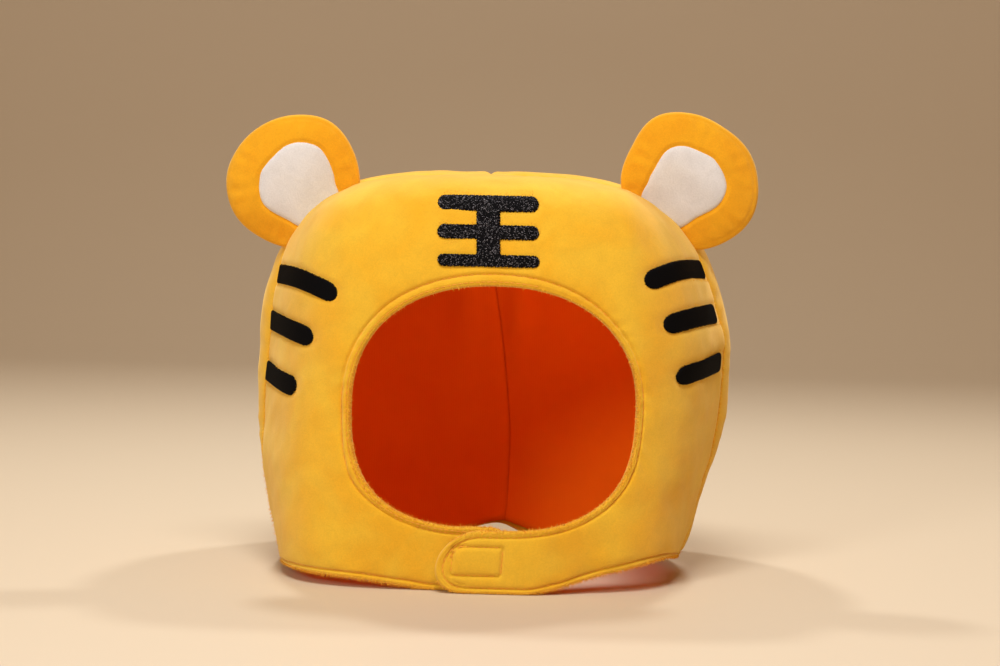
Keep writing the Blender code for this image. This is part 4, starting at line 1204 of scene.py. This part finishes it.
rows = []
loop = np.linspace(-0.2, flat_end, 900)
p, n = front_path(loop, opening_furrow, True)
rows.append((p - n * THREAD_DEPTH["opening"], n))
p, n = front_path(loop[loop < 34.0], 2.0, True)
rows.append((p - n * THREAD_DEPTH["rim"], n))
for first, last in ((0.3, HEM_COLUMNS - 0.05), (LOOP - HEM_COLUMNS + 0.05, flat_end)):
    p, n = front_path(np.linspace(first, last, 400), HEM_FURROW, False)
    rows.append((p - n * THREAD_DEPTH["hem"], n))
turn = np.linspace(-0.5 * math.pi, 0.5 * math.pi, 120)
root_lines = columns_of(np.full(120, flat_end))[0]
for inset in (HEM_FURROW, SECOND_FURROW):
    radius = 1.0 - inset / TAB["radius"]
    w = (radius * np.sin(turn) + 1.0) / 2.0 * run_of(root_lines)[:, -1]
    p = tab_end(root_lines, w[:, None], radius * np.cos(turn)[:, None])[:, 0]
    n = normal(p)
    rows.append((p + n * (TAB_RISE["lift"] - THREAD_DEPTH["tab"]), n))
corners = ((1, 1), (-1, 1), (-1, -1), (1, -1), (1, 1))
t = np.linspace(0.06, 0.94, 40)
for (a, b), (c, d) in zip(corners, corners[1:]):
    x = BOX_STITCH["across"] + BOX_STITCH["wide"] * (a + (c - a) * t)
    z = BOX_STITCH["height"] + BOX_STITCH["tall"] * (b + (d - b) * t)
    p = front_point(x, z)
    n = normal(p)
    rows.append((p + n * (TAB_RISE["lift"] - THREAD_DEPTH["box"]), n))
for side in (-1, 1):
    heights = np.array((HEM_FURROW, HEM_FURROW + 0.5))
    p, n = back_surface(side, heights, (0.0,), (0.0,), 120)[:2]
    rows.append((p[0, 2:-2] - n[0, 2:-2] * THREAD_DEPTH["hem"], n[0, 2:-2]))
verts = np.concatenate([stitches(path, n) for path, n in rows])
rings = np.arange(len(STITCH_SWELL) * STITCH_SIDES).reshape(-1, STITCH_SIDES)
nexts = np.roll(rings, -1, axis=1)
pattern = [np.stack([rings[:-1], nexts[:-1], nexts[1:], rings[1:]], axis=-1).reshape(-1, 4)]
for ring in (rings[0, ::-1], rings[-1]):
    pattern.append(ring[[(0, 1, 2, 3), (0, 3, 4, 5)]])
firsts = rings.size * np.arange(len(verts))[:, None, None]
faces = (firsts + np.concatenate(pattern)).reshape(-1, 4).tolist()
topstitch = joined("topstitching", verts.reshape(-1, 3), faces, thread_gold)
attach(topstitch, "root")

# Pile on the turned edges: where the plush bends round an edge its pile stands apart, so
# single tufts show against what is behind them. Each tuft is a fine closed spike.
TUFT_WIDE = 0.36
TUFT_LONG = 2.0
SHORT_TUFT = 1.1
FLOOR_CLEAR = 0.2
# Tuft tones: about the plush's own, and a lighter one that is painted rim light
PILE_ENDS_PAINTED_LIT = ("#E6A018", "#FFCA40")

# Pile ends: bare fibre ends catch more light than the lying pile, and no two alike.
# Each tuft gets a random tone between the two; the lighter one is painted highlight.
pile_ends, tree, shader = finish_named("velboa_pile_ends_painted_lit")
tuft = add(tree, "ShaderNodeNewGeometry")
tone = add(
    tree, "ShaderNodeMix", {"A": linear(PILE_ENDS_PAINTED_LIT[0]), "B": linear(PILE_ENDS_PAINTED_LIT[1])},
    {"Factor": tuft.outputs["Random Per Island"]}, data_type="RGBA",
)
plug(
    tree, shader, {"Roughness": 0.8, "Specular IOR Level": 0.2, "Sheen Weight": 0.2},
    {"Base Color": tone.outputs["Result"]},
)


def tufts(outer, n, density, longest, seed):
    """Points of fine spikes over the cells of a grid, density for each cell per mm²."""
    rng = np.random.default_rng(seed)
    a, b, c, d = outer[:-1, :-1], outer[1:, :-1], outer[1:, 1:], outer[:-1, 1:]
    chance = np.linalg.norm(np.cross(c - a, d - b), axis=-1) / 2 * density
    many = np.floor(chance + rng.random(chance.shape)).astype(int)
    i, j = np.nonzero(many)
    i, j = (np.repeat(cell, many[i, j]) for cell in (i, j))
    s = rng.random(len(i))[:, None]
    t = rng.random(len(i))[:, None]
    a, b, c, d = (corner[i, j] for corner in (a, b, c, d))
    root = a * (1 - s) * (1 - t) + b * s * (1 - t) + c * s * t + d * (1 - s) * t
    out = unit(np.cross(b - a, d - a))
    out = out * np.sign((out * n[i, j]).sum(axis=-1, keepdims=True) + 1e-9)
    way = unit(out + 0.55 * rng.normal(size=out.shape) + np.array((0.0, 0.0, -0.35)))
    side = unit(np.cross(way, rng.normal(size=way.shape)))
    other = np.cross(way, side)
    long = longest[i, j][:, None] * rng.uniform(0.5, 1.15, size=(len(i), 1))
    spike = [
        root - out * 0.3 + (side * math.cos(turn) + other * math.sin(turn)) * TUFT_WIDE / 2
        for turn in (0.0, 2 * math.pi / 3, 4 * math.pi / 3)
    ]
    return np.stack(spike + [root + way * long], axis=1).reshape(-1, 3)


from_rim = run_of(front_outer)
rim = np.minimum(from_rim, from_rim[:, -1:] - from_rim)
rim = (rim[:-1, :-1] + rim[1:, 1:]) / 2
sewn = (front_sewn[:-1, :-1] + front_sewn[1:, 1:]) / 2
high = (front_outer[:-1, :-1, 2] + front_outer[1:, 1:, 2]) / 2
density = 2.8 * smooth((4.0 - rim) / 2.5) * (1.0 - 0.85 * smooth((high - 95.0) / 50.0))
density += 1.0 * hump(sewn - 0.5, 0.5)
longest = TUFT_LONG + (SHORT_TUFT - TUFT_LONG) * smooth((rim - 4.0) / 2.0)
verts = tufts(front_outer, front_outward, density, longest, 61)
verts[:, 2] = np.maximum(verts[:, 2], FLOOR_CLEAR)
spikes = np.arange(0, len(verts), 4)[:, None]
faces = [spikes + np.array(f) for f in ((0, 1, 3), (1, 2, 3), (2, 0, 3), (0, 2, 1))]
pile = joined("front_edge_pile", verts, np.concatenate(faces).tolist(), pile_ends)
pile.data.shade_flat()
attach(pile, "root")

# Hook tape: the woven pad that is sewn under the chin tab and holds it shut. Hardly any
# of it shows, and its own solid has the right shape, so that gets the woven finish.
HOOK_TAPE = "#D9A030"
tape, tree, shader = finish_named("woven_hook_tape")
place = add(tree, "ShaderNodeTexCoord").outputs["Object"]
weave = add(tree, "ShaderNodeTexNoise", {"Scale": 1000.0 / 0.6}, {"Vector": place})
rough_top = add(
    tree, "ShaderNodeBump", {"Strength": 0.6, "Distance": 0.3 * MM},
    {"Height": weave.outputs["Fac"]},
)
plug(
    tree, shader, {"Base Color": linear(HOOK_TAPE), "Roughness": 0.7},
    {"Normal": rough_top.outputs["Normal"]},
)
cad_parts["hook_loop_patch"].data.materials.clear()
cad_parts["hook_loop_patch"].data.materials.append(tape)
